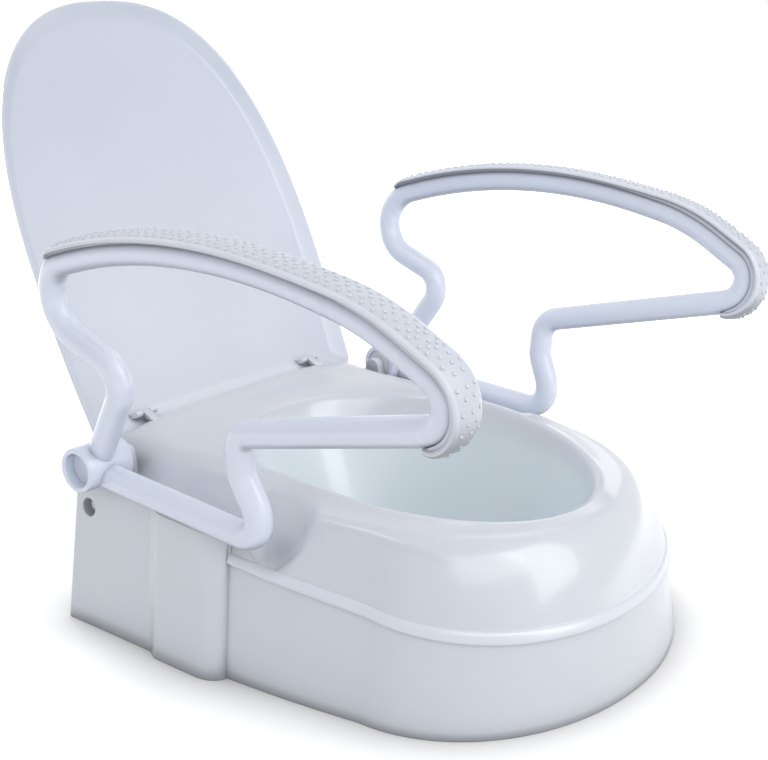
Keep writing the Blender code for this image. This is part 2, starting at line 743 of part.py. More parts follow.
def body_shell(shop):
    body = shop.add("body_shell", outer_solid(), shop.white)
    hollow = shop.add("cavity", cavity_solid())
    full = REAR_Y + 0.1
    for name, side in SIDES:
        for place, y in (("front", FOOT_FRONT_Y), ("rear", FOOT_REAR_Y)):
            for mesh in foot_solids(name + "_" + place + "_foot", side, y):
                cut(shop, hollow, mesh)
        for mesh in fixing_solids(name, side):
            cut(shop, hollow, mesh)
        pocket_x = (panel_x(SIDE_SCREW_Z) - SIDE_RECESS_DEPTH - WALL, PANEL_X)
        reach = SIDE_RECESS_R + WALL
        cut(shop, hollow, sided_box(
            name + "_pocket", side, pocket_x, (SIDE_SCREW_Y - reach, SIDE_SCREW_Y + reach),
            (SIDE_SCREW_Z - reach, SIDE_SCREW_Z + reach)))
        post = side_span(side, BOSS_INNER_X, BOSS_FACE_X)
        join(shop, body, extruded(name + "_post", post_outline(), *post))
        lug = side_span(side, LUG_X - LUG_WIDTH / 2, LUG_X + LUG_WIDTH / 2)
        join(shop, body, extruded(name + "_lug", lug_outline(), *lug))
    boolean(body, hollow)
    for name, side in SIDES:
        bore = ((side * (AXLE_INNER_X - FIT_GAP), HUB_Y, HUB_Z), (side * full, HUB_Y, HUB_Z))
        cut(shop, body, cylinder(name + "_axle_bore", *bore, AXLE_R + FIT_GAP, ROUND_STEPS))
        cut(shop, body, fixing_slot(name, side))
        floor_x = panel_x(SIDE_SCREW_Z) - SIDE_RECESS_DEPTH
        recess = ((side * floor_x, SIDE_SCREW_Y, SIDE_SCREW_Z),
                  (side * full, SIDE_SCREW_Y, SIDE_SCREW_Z))
        cut(shop, body, cylinder(name + "_side_recess", *recess, SIDE_RECESS_R))
    reach = LUG_X + LUG_WIDTH
    cut(shop, body, cylinder("lug_bore", (-reach, HINGE_Y, HINGE_Z), (reach, HINGE_Y, HINGE_Z),
                             HINGE_PIN_R + FIT_GAP, SMALL_STEPS))
    return body


def rest_pads(shop):
    """Rubber pads between the feet and the bowl's rim."""
    half_width = FOOT_WIDTH / 2 - REST_PAD_MARGIN
    half_length = FOOT_LENGTH / 2 - REST_PAD_MARGIN
    for name, side in SIDES:
        for place, y in (("front", FOOT_FRONT_Y), ("rear", FOOT_REAR_Y)):
            mesh = sided_box("rest_pad", side, (FOOT_X - half_width, FOOT_X + half_width),
                             (y - half_length, y + half_length),
                             (BOWL_RIM_Z, BOWL_RIM_Z + REST_PAD_THICK))
            pad = shop.add("rest_pad_%s_%s" % (place, name), mesh, shop.rubber)
            bevel = pad.modifiers.new("Edges", "BEVEL")
            bevel.width = 0.0008
            bevel.segments = 1


# Lid


def lid_outline(inset):
    """Half of the lid's outline, as (x, height), base to top."""
    base = -LID_BASE_BELOW_AXIS + inset
    corner = LID_BASE_HALF_WIDTH - inset
    round_r = min(LID_BASE_CORNER_R, corner * 0.3)
    half = [(corner * share, base) for share in (0.0, 0.25, 0.5, 0.8)]
    for degrees in (0.0, 30.0, 60.0, 90.0):
        angle = math.radians(degrees)
        half.append((corner - round_r * (1.0 - math.sin(angle)),
                     base + round_r * (1.0 - math.cos(angle))))
    start = base + round_r
    for share in (0.28, 0.52, 0.76):
        fall = (1.0 - share) ** 2
        width = LID_HALF_WIDTH - (LID_HALF_WIDTH - LID_BASE_HALF_WIDTH) * fall
        half.append((width - inset, mix(start, LID_WIDEST, share)))
    steps = 12
    reach = LID_LENGTH - LID_WIDEST - inset
    for i in range(steps + 1):
        angle = math.radians(90.0) * i / steps
        x = (LID_HALF_WIDTH - inset) * math.cos(angle) ** (2.0 / LID_TOP_POWER)
        height = LID_WIDEST + reach * math.sin(angle) ** (2.0 / LID_TOP_POWER)
        half.append((0.0 if i == steps else x, height))
    return half


def lid_point(x, height, ahead):
    """World place of a point on the open lid, measured from the hinge axis."""
    place = Vector((0.0, HINGE_Y, HINGE_Z)) + LID_UP * height + LID_FRONT * ahead
    return (x, place.y, place.z)


def lid_section():
    """Outer section of the lid from rim to middle, as (inset, depth)."""
    border = [(0.0, 0.0), (LID_FLARE * 0.45, LID_BORDER_DEPTH * 0.42),
              (LID_FLARE, LID_BORDER_DEPTH * 0.95)]
    dish = []
    for share in (0.05, 0.16, 0.32, 0.60, 1.0):
        dish.append((LID_FLARE + 0.001 + LID_DISH_WIDTH * share,
                     LID_BORDER_DEPTH + LID_DISH * math.sin(math.radians(90.0) * share)))
    return border + dish


def lid_skin():
    """Open outer skin of the lid: a flared border round a dished panel."""
    bm = bmesh.new()
    rows = []
    for inset, depth in lid_section():
        loop = both_halves(lid_outline(inset))
        ahead = -LID_RIM_BEHIND_AXIS - depth
        rows.append([bm.verts.new(lid_point(x, height, ahead)) for x, height in loop])
    count = len(rows[0])
    for outer, inner in zip(rows, rows[1:]):
        for i in range(count):
            j = (i + 1) % count
            bm.faces.new((outer[i], outer[j], inner[j], inner[i]))
    bm.faces.new(rows[-1])
    return mesh_from(bm, "lid")


def knuckle_spans():
    """X limits of the two lid knuckles beside each lug, inner one first."""
    edge = LUG_WIDTH / 2 + FIT_GAP
    return ((LUG_X - edge - KNUCKLE_WIDTH, LUG_X - edge),
            (LUG_X + edge, LUG_X + edge + KNUCKLE_WIDTH))


def knuckle_outline():
    """The lid's round ear about the hinge axis, with a web back to the sloping border."""
    points = []
    steps = 8
    for i in range(steps + 1):
        angle = math.radians(-90.0 + 180.0 * i / steps)
        points.append((KNUCKLE_R * math.sin(angle), KNUCKLE_R * math.cos(angle)))
    for height in (KNUCKLE_R, -KNUCKLE_R * 0.9):
        slope = LID_BORDER_DEPTH / LID_FLARE
        skin = LID_RIM_BEHIND_AXIS + (height + LID_BASE_BELOW_AXIS) * slope
        points.append((height, -min(skin, LID_RIM_BEHIND_AXIS + LID_BORDER_DEPTH) + LID_WALL / 2))
    return [lid_point(0.0, height, ahead)[1:] for height, ahead in points]


def lid(shop):
    item = shop.add("lid", lid_skin(), shop.lid_white)
    wall = item.modifiers.new("Wall", "SOLIDIFY")
    wall.thickness = LID_WALL
    wall.offset = -1.0
    wall.use_even_offset = True
    inner_span, outer_span = knuckle_spans()
    for name, side in SIDES:
        barrel = side_span(side, inner_span[0], outer_span[1])
        join(shop, item, extruded(name + "_knuckles", knuckle_outline(), *barrel))
        bore = [(side * x, HINGE_Y, HINGE_Z) for x in (inner_span[0] - WALL, outer_span[1] + WALL)]
        cut(shop, item, cylinder(name + "_knuckle_bore", *bore, HINGE_PIN_R + FIT_GAP,
                                 SMALL_STEPS))
    for name, side in SIDES:
        notch = side_span(side, inner_span[1], outer_span[0])
        low = -LID_BASE_BELOW_AXIS - 0.004
        high = KNUCKLE_R + 0.002
        front = KNUCKLE_R + 0.002
        back = -LID_BORDER_DEPTH - LID_WALL
        corners = ((low, front), (low, back), (high, back), (high, front))
        outline = [lid_point(0.0, height, ahead)[1:] for height, ahead in corners]
        cut(shop, item, extruded(name + "_lid_notch", outline, *notch))
    for name, side in SIDES:
        ends = [(side * x, HINGE_Y, HINGE_Z) for x in (inner_span[0], outer_span[1])]
        shop.add("lid_hinge_pin_" + name, cylinder("pin", *ends, HINGE_PIN_R, SMALL_STEPS),
                 shop.steel)


# Arm rails


def rounded_path(corners):
    """Points of a path with rounded corners, and each corner's first and last."""
    points = [corners[0][:2]]
    marks = []
    for before, corner, after in zip(corners, corners[1:], corners[2:]):
        here = Vector(corner[:2])
        back = (Vector(before[:2]) - here).normalized()
        ahead = (Vector(after[:2]) - here).normalized()
        turn = math.pi - back.angle(ahead)
        reach = corner[2] * math.tan(turn / 2)
        centre = here + (back + ahead).normalized() * math.hypot(reach, corner[2])
        start = here + back * reach - centre
        cross = start.x * (here + ahead * reach - centre).y - start.y * (
            here + ahead * reach - centre).x
        sign = 1.0 if cross > 0 else -1.0
        step_deg = BEND_STEP_DEG if corner[2] < ARCH_MIN_R else ARCH_STEP_DEG
        steps = max(3, round(math.degrees(turn) / step_deg))
        first = len(points)
        for i in range(steps + 1):
            angle = sign * turn * i / steps
            x = start.x * math.cos(angle) - start.y * math.sin(angle)
            y = start.x * math.sin(angle) + start.y * math.cos(angle)
            points.append((centre.x + x, centre.y + y))
        marks.append((first, len(points) - 1))
    points.append(corners[-1][:2])
    return points, marks


def arm_path():
    ends = ((0.0, 0.0, 0.0), (0.0, ARM_LOWER_END_Z, 0.0))
    return rounded_path((ends[0], *ARM_CORNERS, ends[1]))


def arm_point(side, along, up):
    """World place of a point of the arm's plane, measured from the hub axis."""
    x = ARM_X + ARM_LEAN * up - ARM_SPLAY * along
    return Vector((side * x, HUB_Y + along, HUB_Z + up))


def arm_direction(side, along, up):
    way = Vector((side * (ARM_LEAN * up - ARM_SPLAY * along), along, up))
    return way.normalized()


def tube_mesh(shop, name, side, points):
    """A round bar along points of the arm's plane."""
    curve = bpy.data.curves.new(name, "CURVE")
    curve.dimensions = "3D"
    curve.bevel_depth = TUBE_R
    curve.bevel_resolution = TUBE_SIDE_LEVEL
    curve.use_fill_caps = True
    spline = curve.splines.new("POLY")
    spline.points.add(len(points) - 1)
    for node, (along, up) in zip(spline.points, points):
        node.co = (*arm_point(side, along, up), 1.0)
    path = bpy.data.objects.new(name + "_path", curve)
    shop.cutters.objects.link(path)
    graph = bpy.context.evaluated_depsgraph_get()
    made = bpy.data.meshes.new_from_object(path.evaluated_get(graph))
    bpy.data.objects.remove(path, do_unlink=True)
    bm = bmesh.new()
    bm.from_mesh(made)
    bpy.data.meshes.remove(made)
    bmesh.ops.remove_doubles(bm, verts=bm.verts, dist=0.00001)
    return mesh_from(bm, name)


def arm_tube(shop, name, side, holes):
    """A bent tube from the hub, over the arch and back to the hub."""
    points, marks = arm_path()
    middle = marks[3][0] + 2
    upper = tube_mesh(shop, name + "_arm_tube", side, points[:middle + 1])
    lower = tube_mesh(shop, name + "_arm_return", side, points[middle:])
    tube = shop.add(name + "_arm_tube", upper, shop.tube_white)
    join(shop, tube, lower)
    cope = ((side * (HUB_INNER_X - 0.02), HUB_Y, HUB_Z), (side * (HUB_OUTER_X + 0.02), HUB_Y, HUB_Z))
    cut(shop, tube, cylinder(name + "_cope", *cope, HUB_R + FIT_GAP, HUB_STEPS))
    for hole in holes:
        boolean(tube, hole)
    return tube


def pad_stations(side):
    """Frames along the padded stretch: place, way along, way out and share."""
    points, marks = arm_path()
    start_arc = marks[PAD_CORNERS[0]]
    first = start_arc[0] + round((start_arc[1] - start_arc[0]) * 0.75)
    last = marks[PAD_CORNERS[1]][1]
    run = points[first:last + 1]
    onward = Vector(points[last + 1]) - Vector(points[last])
    tip = Vector(points[last]) + onward.normalized() * PAD_END_RUN
    run.append((tip.x, tip.y))
    lengths = [0.0]
    for one, two in zip(run, run[1:]):
        lengths.append(lengths[-1] + (Vector(two) - Vector(one)).length)
    stations = []
    for i, here in enumerate(run):
        before = Vector(run[max(i - 1, 0)])
        after = Vector(run[min(i + 1, len(run) - 1)])
        way = (after - before).normalized()
        stations.append((arm_point(side, *here), arm_direction(side, way.x, way.y),
                         arm_direction(side, way.y, -way.x), lengths[i] / lengths[-1]))
    return stations, lengths[-1]


def pad_section(share, length):
    """Closed outline of the pad at a share of its length, as (across, out)."""
    cradle_r = TUBE_R + FIT_GAP
    tip = min(share, 1.0 - share) * length
    full = smooth(tip, *PAD_TIP_RUN)
    half_width = PAD_HALF_WIDTH * mix(PAD_TIP_SHARE, 1.0, full)
    lift = PAD_NOSE_LIFT * smooth(share, *PAD_LIFT_IN) * smooth(1.0 - share, *PAD_LIFT_OUT)
    crown = mix(cradle_r + PAD_TIP_CROWN, PAD_CROWN, full) + lift
    edge = mix(cradle_r - PAD_SIDE_LEAN, PAD_EDGE, full) + lift
    top = []
    for step in range(-3, 4):
        across = step / 3.0
        top.append((half_width * across, crown - (crown - edge) * abs(across) ** 2.2))
    cradle = min(PAD_CRADLE_HALF_WIDTH, half_width * 0.62)
    rib = cradle + PAD_CRADLE_RIB
    under = edge - PAD_EDGE_THICK
    low = math.sqrt(cradle_r ** 2 - cradle ** 2)
    ridge = math.sqrt(cradle_r ** 2 - (cradle / 2) ** 2)
    bottom = [(half_width - PAD_SIDE_LEAN, under), (rib, min(under, low + 0.003)), (rib, low - 0.0002),
              (cradle, low), (cradle / 2, ridge), (0.0, cradle_r), (-cradle / 2, ridge),
              (-cradle, low), (-rib, low - 0.0002), (-rib, min(under, low + 0.003)),
              (-half_width + PAD_SIDE_LEAN, under)]
    return top + bottom


def arm_pad(shop, name, side, holes):
    stations, length = pad_stations(side)
    rings = []
    for place, along, out, share in stations:
        across = along.cross(out)
        ring = [place + across * u + out * v for u, v in pad_section(share, length)]
        rings.append([tuple(point) for point in ring])
    pad = shop.add(name + "_arm_pad", loft(name + "_arm_pad", rings, cap_ends=True),
                   shop.pad_white)
    for hole in holes:
        boolean(pad, hole)


def pad_screws(shop, name, side):
    """Screws from under the tube into the pad. Returns their hole cutters."""
    stations, length = pad_stations(side)
    tip = TUBE_R + FIT_GAP + PAD_SCREW_BITE
    floor = PAD_SCREW_SINK - TUBE_R
    seat = floor - FIT_GAP
    shank_r = PAD_SCREW_R + FIT_GAP
    sink_r = PAD_SCREW_HEAD_R + FIT_GAP
    profile = ((0.0, tip), (PAD_SCREW_R, tip), (PAD_SCREW_R, seat), (PAD_SCREW_HEAD_R, seat),
               (PAD_SCREW_HEAD_R, seat - PAD_SCREW_HEAD), (0.0, seat - PAD_SCREW_HEAD))
    below = -2 * TUBE_R
    hole = ((0.0, tip + FIT_GAP), (shank_r, tip + FIT_GAP), (shank_r, floor), (sink_r, floor),
            (sink_r, below), (0.0, below))
    holes = []
    for number, share in enumerate(PAD_SCREW_AT, 1):
        place, along, out, at = min(stations, key=lambda one: abs(one[3] - share))
        turned(shop, "%s_pad_screw_%d" % (name, number), profile, shop.steel, place, out,
               SCREW_STEPS)
        holes.append(turned(shop, "%s_pad_hole_%d" % (name, number), hole, None, place, out,
                            SCREW_STEPS))
    return holes


def hub(shop, name, side):
    """Sleeve, bush, axle and washer on one hub axis."""
    axis = (side, 0.0, 0.0)
    inner = (side * HUB_INNER_X, HUB_Y, HUB_Z)
    sleeve = ((HUB_R - BREAK, HUB_LENGTH), (HUB_R, HUB_LENGTH - BREAK), (HUB_R, FINE_BREAK),
              (HUB_R - FINE_BREAK, 0.0), (HUB_BORE_R, 0.0), (HUB_BORE_R, HUB_LENGTH - FINE_BREAK),
              (HUB_BORE_R + FINE_BREAK, HUB_LENGTH))
    turned(shop, name + "_hub_sleeve", sleeve, shop.tube_white, inner, axis, HUB_STEPS, bored=True)
    bush_r = HUB_BORE_R - FIT_GAP
    bore_r = AXLE_R + FIT_GAP
    bush = ((bush_r - FINE_BREAK, BUSH_LENGTH), (bush_r, BUSH_LENGTH - FINE_BREAK),
            (bush_r, FINE_BREAK), (bush_r - FINE_BREAK, 0.0), (bore_r, 0.0),
            (bore_r, BUSH_LENGTH))
    turned(shop, name + "_hub_bush", bush, shop.nylon, inner, axis, bored=True)
    head = BUSH_LENGTH + FIT_GAP
    end = AXLE_INNER_X - HUB_INNER_X
    top = head + AXLE_HEAD_LENGTH
    axle = ((0.0, top), (AXLE_HEAD_R - BREAK, top), (AXLE_HEAD_R, top - BREAK),
            (AXLE_HEAD_R, head), (AXLE_R, head), (AXLE_R, end + FINE_BREAK),
            (AXLE_R - FINE_BREAK, end), (0.0, end))
    turned(shop, name + "_axle_pin", axle, shop.steel, inner, axis)
    face = -FIT_GAP
    washer = ((HUB_WASHER_R, face), (HUB_WASHER_R, face - HUB_WASHER_THICK),
              (bore_r, face - HUB_WASHER_THICK), (bore_r, face))
    turned(shop, name + "_hub_washer", washer, shop.nylon, inner, axis, bored=True)


def side_screw(shop, name, side):
    floor_x = panel_x(SIDE_SCREW_Z) - SIDE_RECESS_DEPTH + FIT_GAP
    top = SIDE_SCREW_HEIGHT
    profile = ((0.0, top), (SIDE_SCREW_R - BREAK, top), (SIDE_SCREW_R, top - BREAK),
               (SIDE_SCREW_R, 0.0), (0.0, 0.0))
    turned(shop, name + "_side_screw", profile, shop.steel,
           (side * floor_x, SIDE_SCREW_Y, SIDE_SCREW_Z), (side, 0.0, 0.0), SMALL_STEPS)


def fixing(shop, name, side):
    """Bolt, cone washer and wing nut that clamp the raiser to the bowl."""
    place = (side * FIXING_X, FIXING_Y, 0.0)
    seat = BOWL_RIM_Z + FIXING_PLATE + FIT_GAP
    top = seat + FIXING_HEAD_HEIGHT
    bolt = ((0.0, top), (FIXING_HEAD_R - BREAK, top), (FIXING_HEAD_R, top - BREAK),
            (FIXING_HEAD_R, seat), (FIXING_BOLT_R, seat),
            (FIXING_BOLT_R, FIXING_BOLT_TIP_Z + BREAK),
            (FIXING_BOLT_R - BREAK, FIXING_BOLT_TIP_Z), (0.0, FIXING_BOLT_TIP_Z))
    turned(shop, name + "_fixing_bolt", bolt, shop.nylon, place, (0.0, 0.0, 1.0), SMALL_STEPS)
    bore_r = FIXING_BOLT_R + FIT_GAP
    cone_top = BOWL_RIM_Z - FIT_GAP
    cone_low = cone_top - CONE_WASHER_HEIGHT
    cone = ((CONE_WASHER_TIP_R, cone_top), (CONE_WASHER_R, cone_low + 0.003),
            (CONE_WASHER_R, cone_low), (bore_r, cone_low), (bore_r, cone_top))
    turned(shop, name + "_cone_washer", cone, shop.rubber, place, (0.0, 0.0, 1.0), bored=True)
    nut_top = cone_low - FIT_GAP
    nut_low = nut_top - WING_NUT_HEIGHT
    nut = shop.add(name + "_wing_nut",
                   cylinder("nut", (place[0], FIXING_Y, nut_low), (place[0], FIXING_Y, nut_top),
                            WING_NUT_R), shop.nylon)
    half = WING_THICK / 2
    for label, start, end in (("inner", -WING_SPAN, -bore_r - BREAK),
                              ("outer", bore_r + BREAK, WING_SPAN)):
        wing = box("%s_wing_%s" % (name, label),
                   (place[0] + start, FIXING_Y - half, nut_top - WING_BELOW - WING_HEIGHT),
                   (place[0] + end, FIXING_Y + half, nut_top - WING_BELOW))
        join(shop, nut, wing)
    cut(shop, nut, cylinder(name + "_nut_bore", (place[0], FIXING_Y, 0.0),
                            (place[0], FIXING_Y, BOWL_RIM_Z), bore_r, SMALL_STEPS))


def centre_root(shop):
    """Puts the origin under the middle of the whole object's box."""
    bpy.context.view_layer.update()
    graph = bpy.context.evaluated_depsgraph_get()
    places = []
    for item in shop.parts.objects:
        if item.type == "MESH":
            solid = item.evaluated_get(graph)
            places += [(item.matrix_world @ corner.co).y for corner in solid.data.vertices]
    shop.root.location.y = -(min(places) + max(places)) / 2


def main():
    shop = Workshop()
    body_shell(shop)
    rest_pads(shop)
    lid(shop)
    for name, side in SIDES:
        holes = pad_screws(shop, name, side)
        arm_tube(shop, name, side, holes)
        arm_pad(shop, name, side, holes)
        hub(shop, name, side)
        side_screw(shop, name, side)
        fixing(shop, name, side)
    centre_root(shop)


main()
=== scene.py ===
"""Toilet seat raiser with its lid up and its arm rails down, dressed on the CAD frame."""

import json
import math

import bmesh
import bpy
from mathutils import Matrix, Vector
from mathutils.bvhtree import BVHTree
from mathutils.kdtree import KDTree


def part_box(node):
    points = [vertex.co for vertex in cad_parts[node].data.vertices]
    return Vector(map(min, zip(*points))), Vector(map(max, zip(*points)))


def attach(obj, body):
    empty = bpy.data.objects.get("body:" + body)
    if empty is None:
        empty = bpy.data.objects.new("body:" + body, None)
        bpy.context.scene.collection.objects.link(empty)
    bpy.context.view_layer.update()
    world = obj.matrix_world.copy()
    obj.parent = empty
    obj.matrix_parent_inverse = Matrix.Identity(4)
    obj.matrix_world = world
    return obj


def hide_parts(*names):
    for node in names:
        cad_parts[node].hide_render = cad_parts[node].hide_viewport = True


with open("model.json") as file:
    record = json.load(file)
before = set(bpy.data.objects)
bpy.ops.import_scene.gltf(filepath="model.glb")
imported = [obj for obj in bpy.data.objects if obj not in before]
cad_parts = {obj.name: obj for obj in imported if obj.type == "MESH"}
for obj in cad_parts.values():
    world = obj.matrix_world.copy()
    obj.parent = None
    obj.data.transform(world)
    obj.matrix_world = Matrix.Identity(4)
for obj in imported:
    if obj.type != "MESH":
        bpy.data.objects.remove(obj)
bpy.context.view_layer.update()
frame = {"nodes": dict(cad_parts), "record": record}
scene = bpy.context.scene


# Hood
# One white gloss moulding: a skirt with a bead round its front, a rounded dome, the
# seat's oval opening with a funnel below it, a rear deck and two side ledges, each
# of which ends in a deep scoop round the rail's front bend.

SHELL_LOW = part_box("body_shell")[0]

WALL = 0.0032
DRAFT = 0.085
NOSE_DRAFT = 0.145
NOSE_HALF_WIDTH = 0.2122
NOSE_LENGTH = 0.1648
NOSE_CENTRE_Y = -0.1129
NOSE_POWER = 2.053
SHIFT = SHELL_LOW.y - NOSE_CENTRE_Y + NOSE_LENGTH    # the sizes count Y from their own origin
CREASE_X = 0.229
CREASE_Y = 0.032
PILASTER_X = 0.2455
PILASTER_FRONT_Y = 0.057
PILASTER_REAR_Y = 0.110
PANEL_X = 0.2385
PANEL_FRONT_Y = 0.129
REAR_Y = 0.249
REAR_CORNER_R = 0.004
BEAD_NOSE_Z = 0.0894
BEAD_SLOPE = 0.1127
BEAD_HEIGHT = 0.0108
BEAD_PROUD = 0.0048
RING_Y = -0.015
SEAT_FRONT_Z = 0.1624
SEAT_REAR_Z = 0.1795
SEAT_SLOPE = 0.048
DECK_REAR_Z = 0.1893
DECK_SLOPE = 0.14
SHOULDER = (0.1732, 0.2015, 0.241)     # half width, front and rear reach of each oval
TOP = (0.1602, 0.196, 0.222)
RIM = (0.145, 0.187, 0.185)
FUNNEL = (0.112, 0.130, 0.122)
SHOULDER_DROP = 0.0010
RIM_FRONT_Z = 0.1612
RIM_SLOPE = 0.105
FUNNEL_BOTTOM_Z = 0.030
LEDGE_REAR_Z = 0.1529
LEDGE_SLOPE = 0.056
LEDGE_TOE_X = 0.200
LEDGE_BLEND = 0.040
LEDGE_EDGE_R = 0.003
LEDGE_SOFT = 0.005
SWOOP_X = 0.234
SWOOP_Y = -0.012
SWOOP_BLEND = 0.024
SCOOP_X = 0.214
SCOOP_Y = -0.010
SCOOP_REACH = 0.0245
SCOOP_DEPTH = 0.026
HUB_Y = 0.195
HUB_Z = 0.176
SIDE_SWELL = 0.002
WAY_STEP = 0.0025              # the least angle between two ways
SEAT_REAR_SLOPE = 0.02
SEAT_BLEND = (-0.060, 0.050)    # where along Y the front of a height runs into its rear
DECK_BLEND = (0.125, 0.225)
RIM_BLEND = (-0.060, 0.080)
RIM_REAR_DROP = 0.001
SHOULDER_BLEND = (0.10, 0.22)
LEDGE_WALL_OVER = 0.002
TOE_BLEND = 0.01
FOOT_EDGE_R = 0.0008
SKIRT_SHARES = (0.1, 0.3, 0.5, 0.7, 0.85, 0.94, 0.985)
BEAD_DEGREES = (0.0, 12.0, 30.0, 60.0, 90.0, 120.0, 150.0, 170.0, 180.0)
BEAD_FULLNESS = 1.35
BEAD_FALL = 0.62
DOME_STEPS = 36
DOME_SPREAD = 0.9
DOME_POWER = 2.53
DOME_ROOT = 0.92
REAR_DOME_POWER = 4.0
REAR_BLEND = (0.10, 0.20)
DOME_SMOOTHING = 30
RIM_STEPS = ((0.0, 0.0065, 2.4), (0.0016, 0.0025, 2.3), (0.0070, -0.0012, 2.2))
FUNNEL_SHARES = (0.35, 0.65, 1.0, 1.2)
FUNNEL_FLARE = 0.08


def mix(start, end, share):
    return start + (end - start) * share


def smooth(value, low, high):
    """0 below low, 1 above high, and a soft step between."""
    share = min(1.0, max(0.0, (value - low) / (high - low)))
    return share * share * (3.0 - 2.0 * share)


def soft_min(one, two, reach):
    """The lower of two heights, blended where they are within reach."""
    share = max(reach - abs(one - two), 0.0) / reach
    return min(one, two) - share * share * reach / 4.0


def skirt_half(inset):
    """Half of the skirt's outline, nose to rear, as (x, y, behind the crease)."""
    points = []
    steps = 44
    for i in range(steps):
        angle = math.radians(90.0) * i / steps
        across = math.sin(angle) ** (2.0 / NOSE_POWER)
        ahead = math.cos(angle) ** (2.0 / NOSE_POWER)
        points.append(((NOSE_HALF_WIDTH - inset) * across,
                       NOSE_CENTRE_Y - (NOSE_LENGTH - inset) * ahead, False))
    steps = 46
    for i in range(steps + 1):
        share = i / steps
        swell = SIDE_SWELL * math.sin(math.pi * share)
        points.append((mix(NOSE_HALF_WIDTH, CREASE_X, share) + swell - inset,
                       mix(NOSE_CENTRE_Y, CREASE_Y, share), False))
    steps = 12
    for i in range(1, steps + 1):
        angle = math.radians(90.0) * i / steps
        points.append((CREASE_X + (PILASTER_X - CREASE_X) * math.sin(angle) - inset,
                       PILASTER_FRONT_Y - (PILASTER_FRONT_Y - CREASE_Y) * math.cos(angle), True))
    corner_y = REAR_Y - inset - REAR_CORNER_R
    for x_start, x_end, y_start, y_end, steps in (
            (PILASTER_X, PILASTER_X, PILASTER_FRONT_Y, PILASTER_REAR_Y, 14),
            (PILASTER_X, PANEL_X, PILASTER_REAR_Y, PANEL_FRONT_Y, 8),
            (PANEL_X, PANEL_X, PANEL_FRONT_Y, corner_y, 28)):
        for i in range(1, steps + 1):
            share = i / steps
            across = smooth(share, 0.0, 1.0)
            points.append((mix(x_start, x_end, across) - inset, mix(y_start, y_end, share), True))
    steps = 8
    for i in range(1, steps + 1):
        angle = math.radians(90.0) * i / steps
        points.append((PANEL_X - inset - REAR_CORNER_R * (1.0 - math.cos(angle)),
                       corner_y + REAR_CORNER_R * math.sin(angle), True))
    steps = 30
    for i in range(1, steps + 1):
        points.append(((PANEL_X - inset - REAR_CORNER_R) * (1.0 - i / steps),
                       REAR_Y - inset, True))
    return points


def both_halves(half):
    """Mirrors a half outline whose ends lie on X = 0 into one closed loop."""
    return half + [(-point[0], *point[1:]) for point in reversed(half[1:-1])]


OUTLINE = both_halves(skirt_half(0.0))


def ring_ways():
    """Directions from the seat's middle to the outline, each one past the last."""
    half = []
    last = -math.pi
    for x, y, _ in skirt_half(0.0):
        last = max(math.atan2(y - RING_Y, x), last + WAY_STEP)
        half.append((math.cos(last), math.sin(last)))
    return both_halves(half)


WAYS = ring_ways()


def draft(y):
    return mix(NOSE_DRAFT, DRAFT, smooth(y, NOSE_CENTRE_Y, CREASE_Y))


def bead_z(y):
    return BEAD_NOSE_Z + BEAD_SLOPE * (y - NOSE_CENTRE_Y + NOSE_LENGTH)


def ledge_z(y):
    return LEDGE_REAR_Z + LEDGE_SLOPE * (y - HUB_Y)


def top_z(y):
    """Height of the seat's and deck's top along the body."""
    front = SEAT_FRONT_Z + SEAT_SLOPE * max(0.0, y - RING_Y + TOP[1])
    middle = SEAT_REAR_Z + SEAT_REAR_SLOPE * (y - CREASE_Y)
    blended = mix(front, middle, smooth(y, *SEAT_BLEND))
    rear = DECK_REAR_Z + DECK_SLOPE * (y - (REAR_Y - DRAFT * DECK_REAR_Z))
    return mix(blended, rear, smooth(y, *DECK_BLEND))


def rim_z(y):
    """Height of the opening's edge along the body."""
    front = RIM_FRONT_Z + RIM_SLOPE * (y - (RING_Y - RIM[1]))
    return mix(front, SEAT_REAR_Z - RIM_REAR_DROP, smooth(y, *RIM_BLEND))


def shoulder_z(y):
    return top_z(y) - mix(SHOULDER_DROP, 0.0, smooth(y, *SHOULDER_BLEND))


def ledge_height(x, y):
    """Height of a side ledge's floor and of the wall that rises from it."""
    across = SWOOP_X - abs(x)
    along = SWOOP_Y - y
    depth = LEDGE_TOE_X - abs(x)
    blend = LEDGE_BLEND
    if along > 0.0:
        turn = math.atan2(along, max(across, 0.0)) / math.radians(90.0)
        depth = math.hypot(max(across, 0.0), along) - (SWOOP_X - LEDGE_TOE_X)
        blend = mix(LEDGE_BLEND, SWOOP_BLEND, turn)
    share = min(1.0, max(0.0, depth / blend))
    floor = ledge_z(y)
    rise = top_z(y) + LEDGE_WALL_OVER - floor
    away = math.hypot(abs(x) - SCOOP_X, y - SCOOP_Y) / SCOOP_REACH
    return (floor + rise * (0.5 - 0.5 * math.cos(math.pi * share)) + max(0.0, depth - blend)
            - SCOOP_DEPTH * math.exp(-away * away))


def lowered(ring):
    """A ring of the dome, cut down to the ledges."""
    return [(x, y, soft_min(z, ledge_height(x, y), LEDGE_SOFT)) for x, y, z in ring]


def oval_ring(oval, z_of, grow=0.0, rear_power=2.2):
    """A closed oval about the ring's centre, with z_of giving its height along Y."""
    half_width, front, rear = oval
    ring = []
    for x, y in WAYS:
        reach = (rear if y > 0 else front) + grow
        power = rear_power if y > 0 else 2.0
        size = (abs(x) / (half_width + grow)) ** power + (abs(y) / reach) ** power
        scale = size ** (-1.0 / power)
        place = y * scale + RING_Y
        ring.append((x * scale, place, z_of(place)))
    return ring


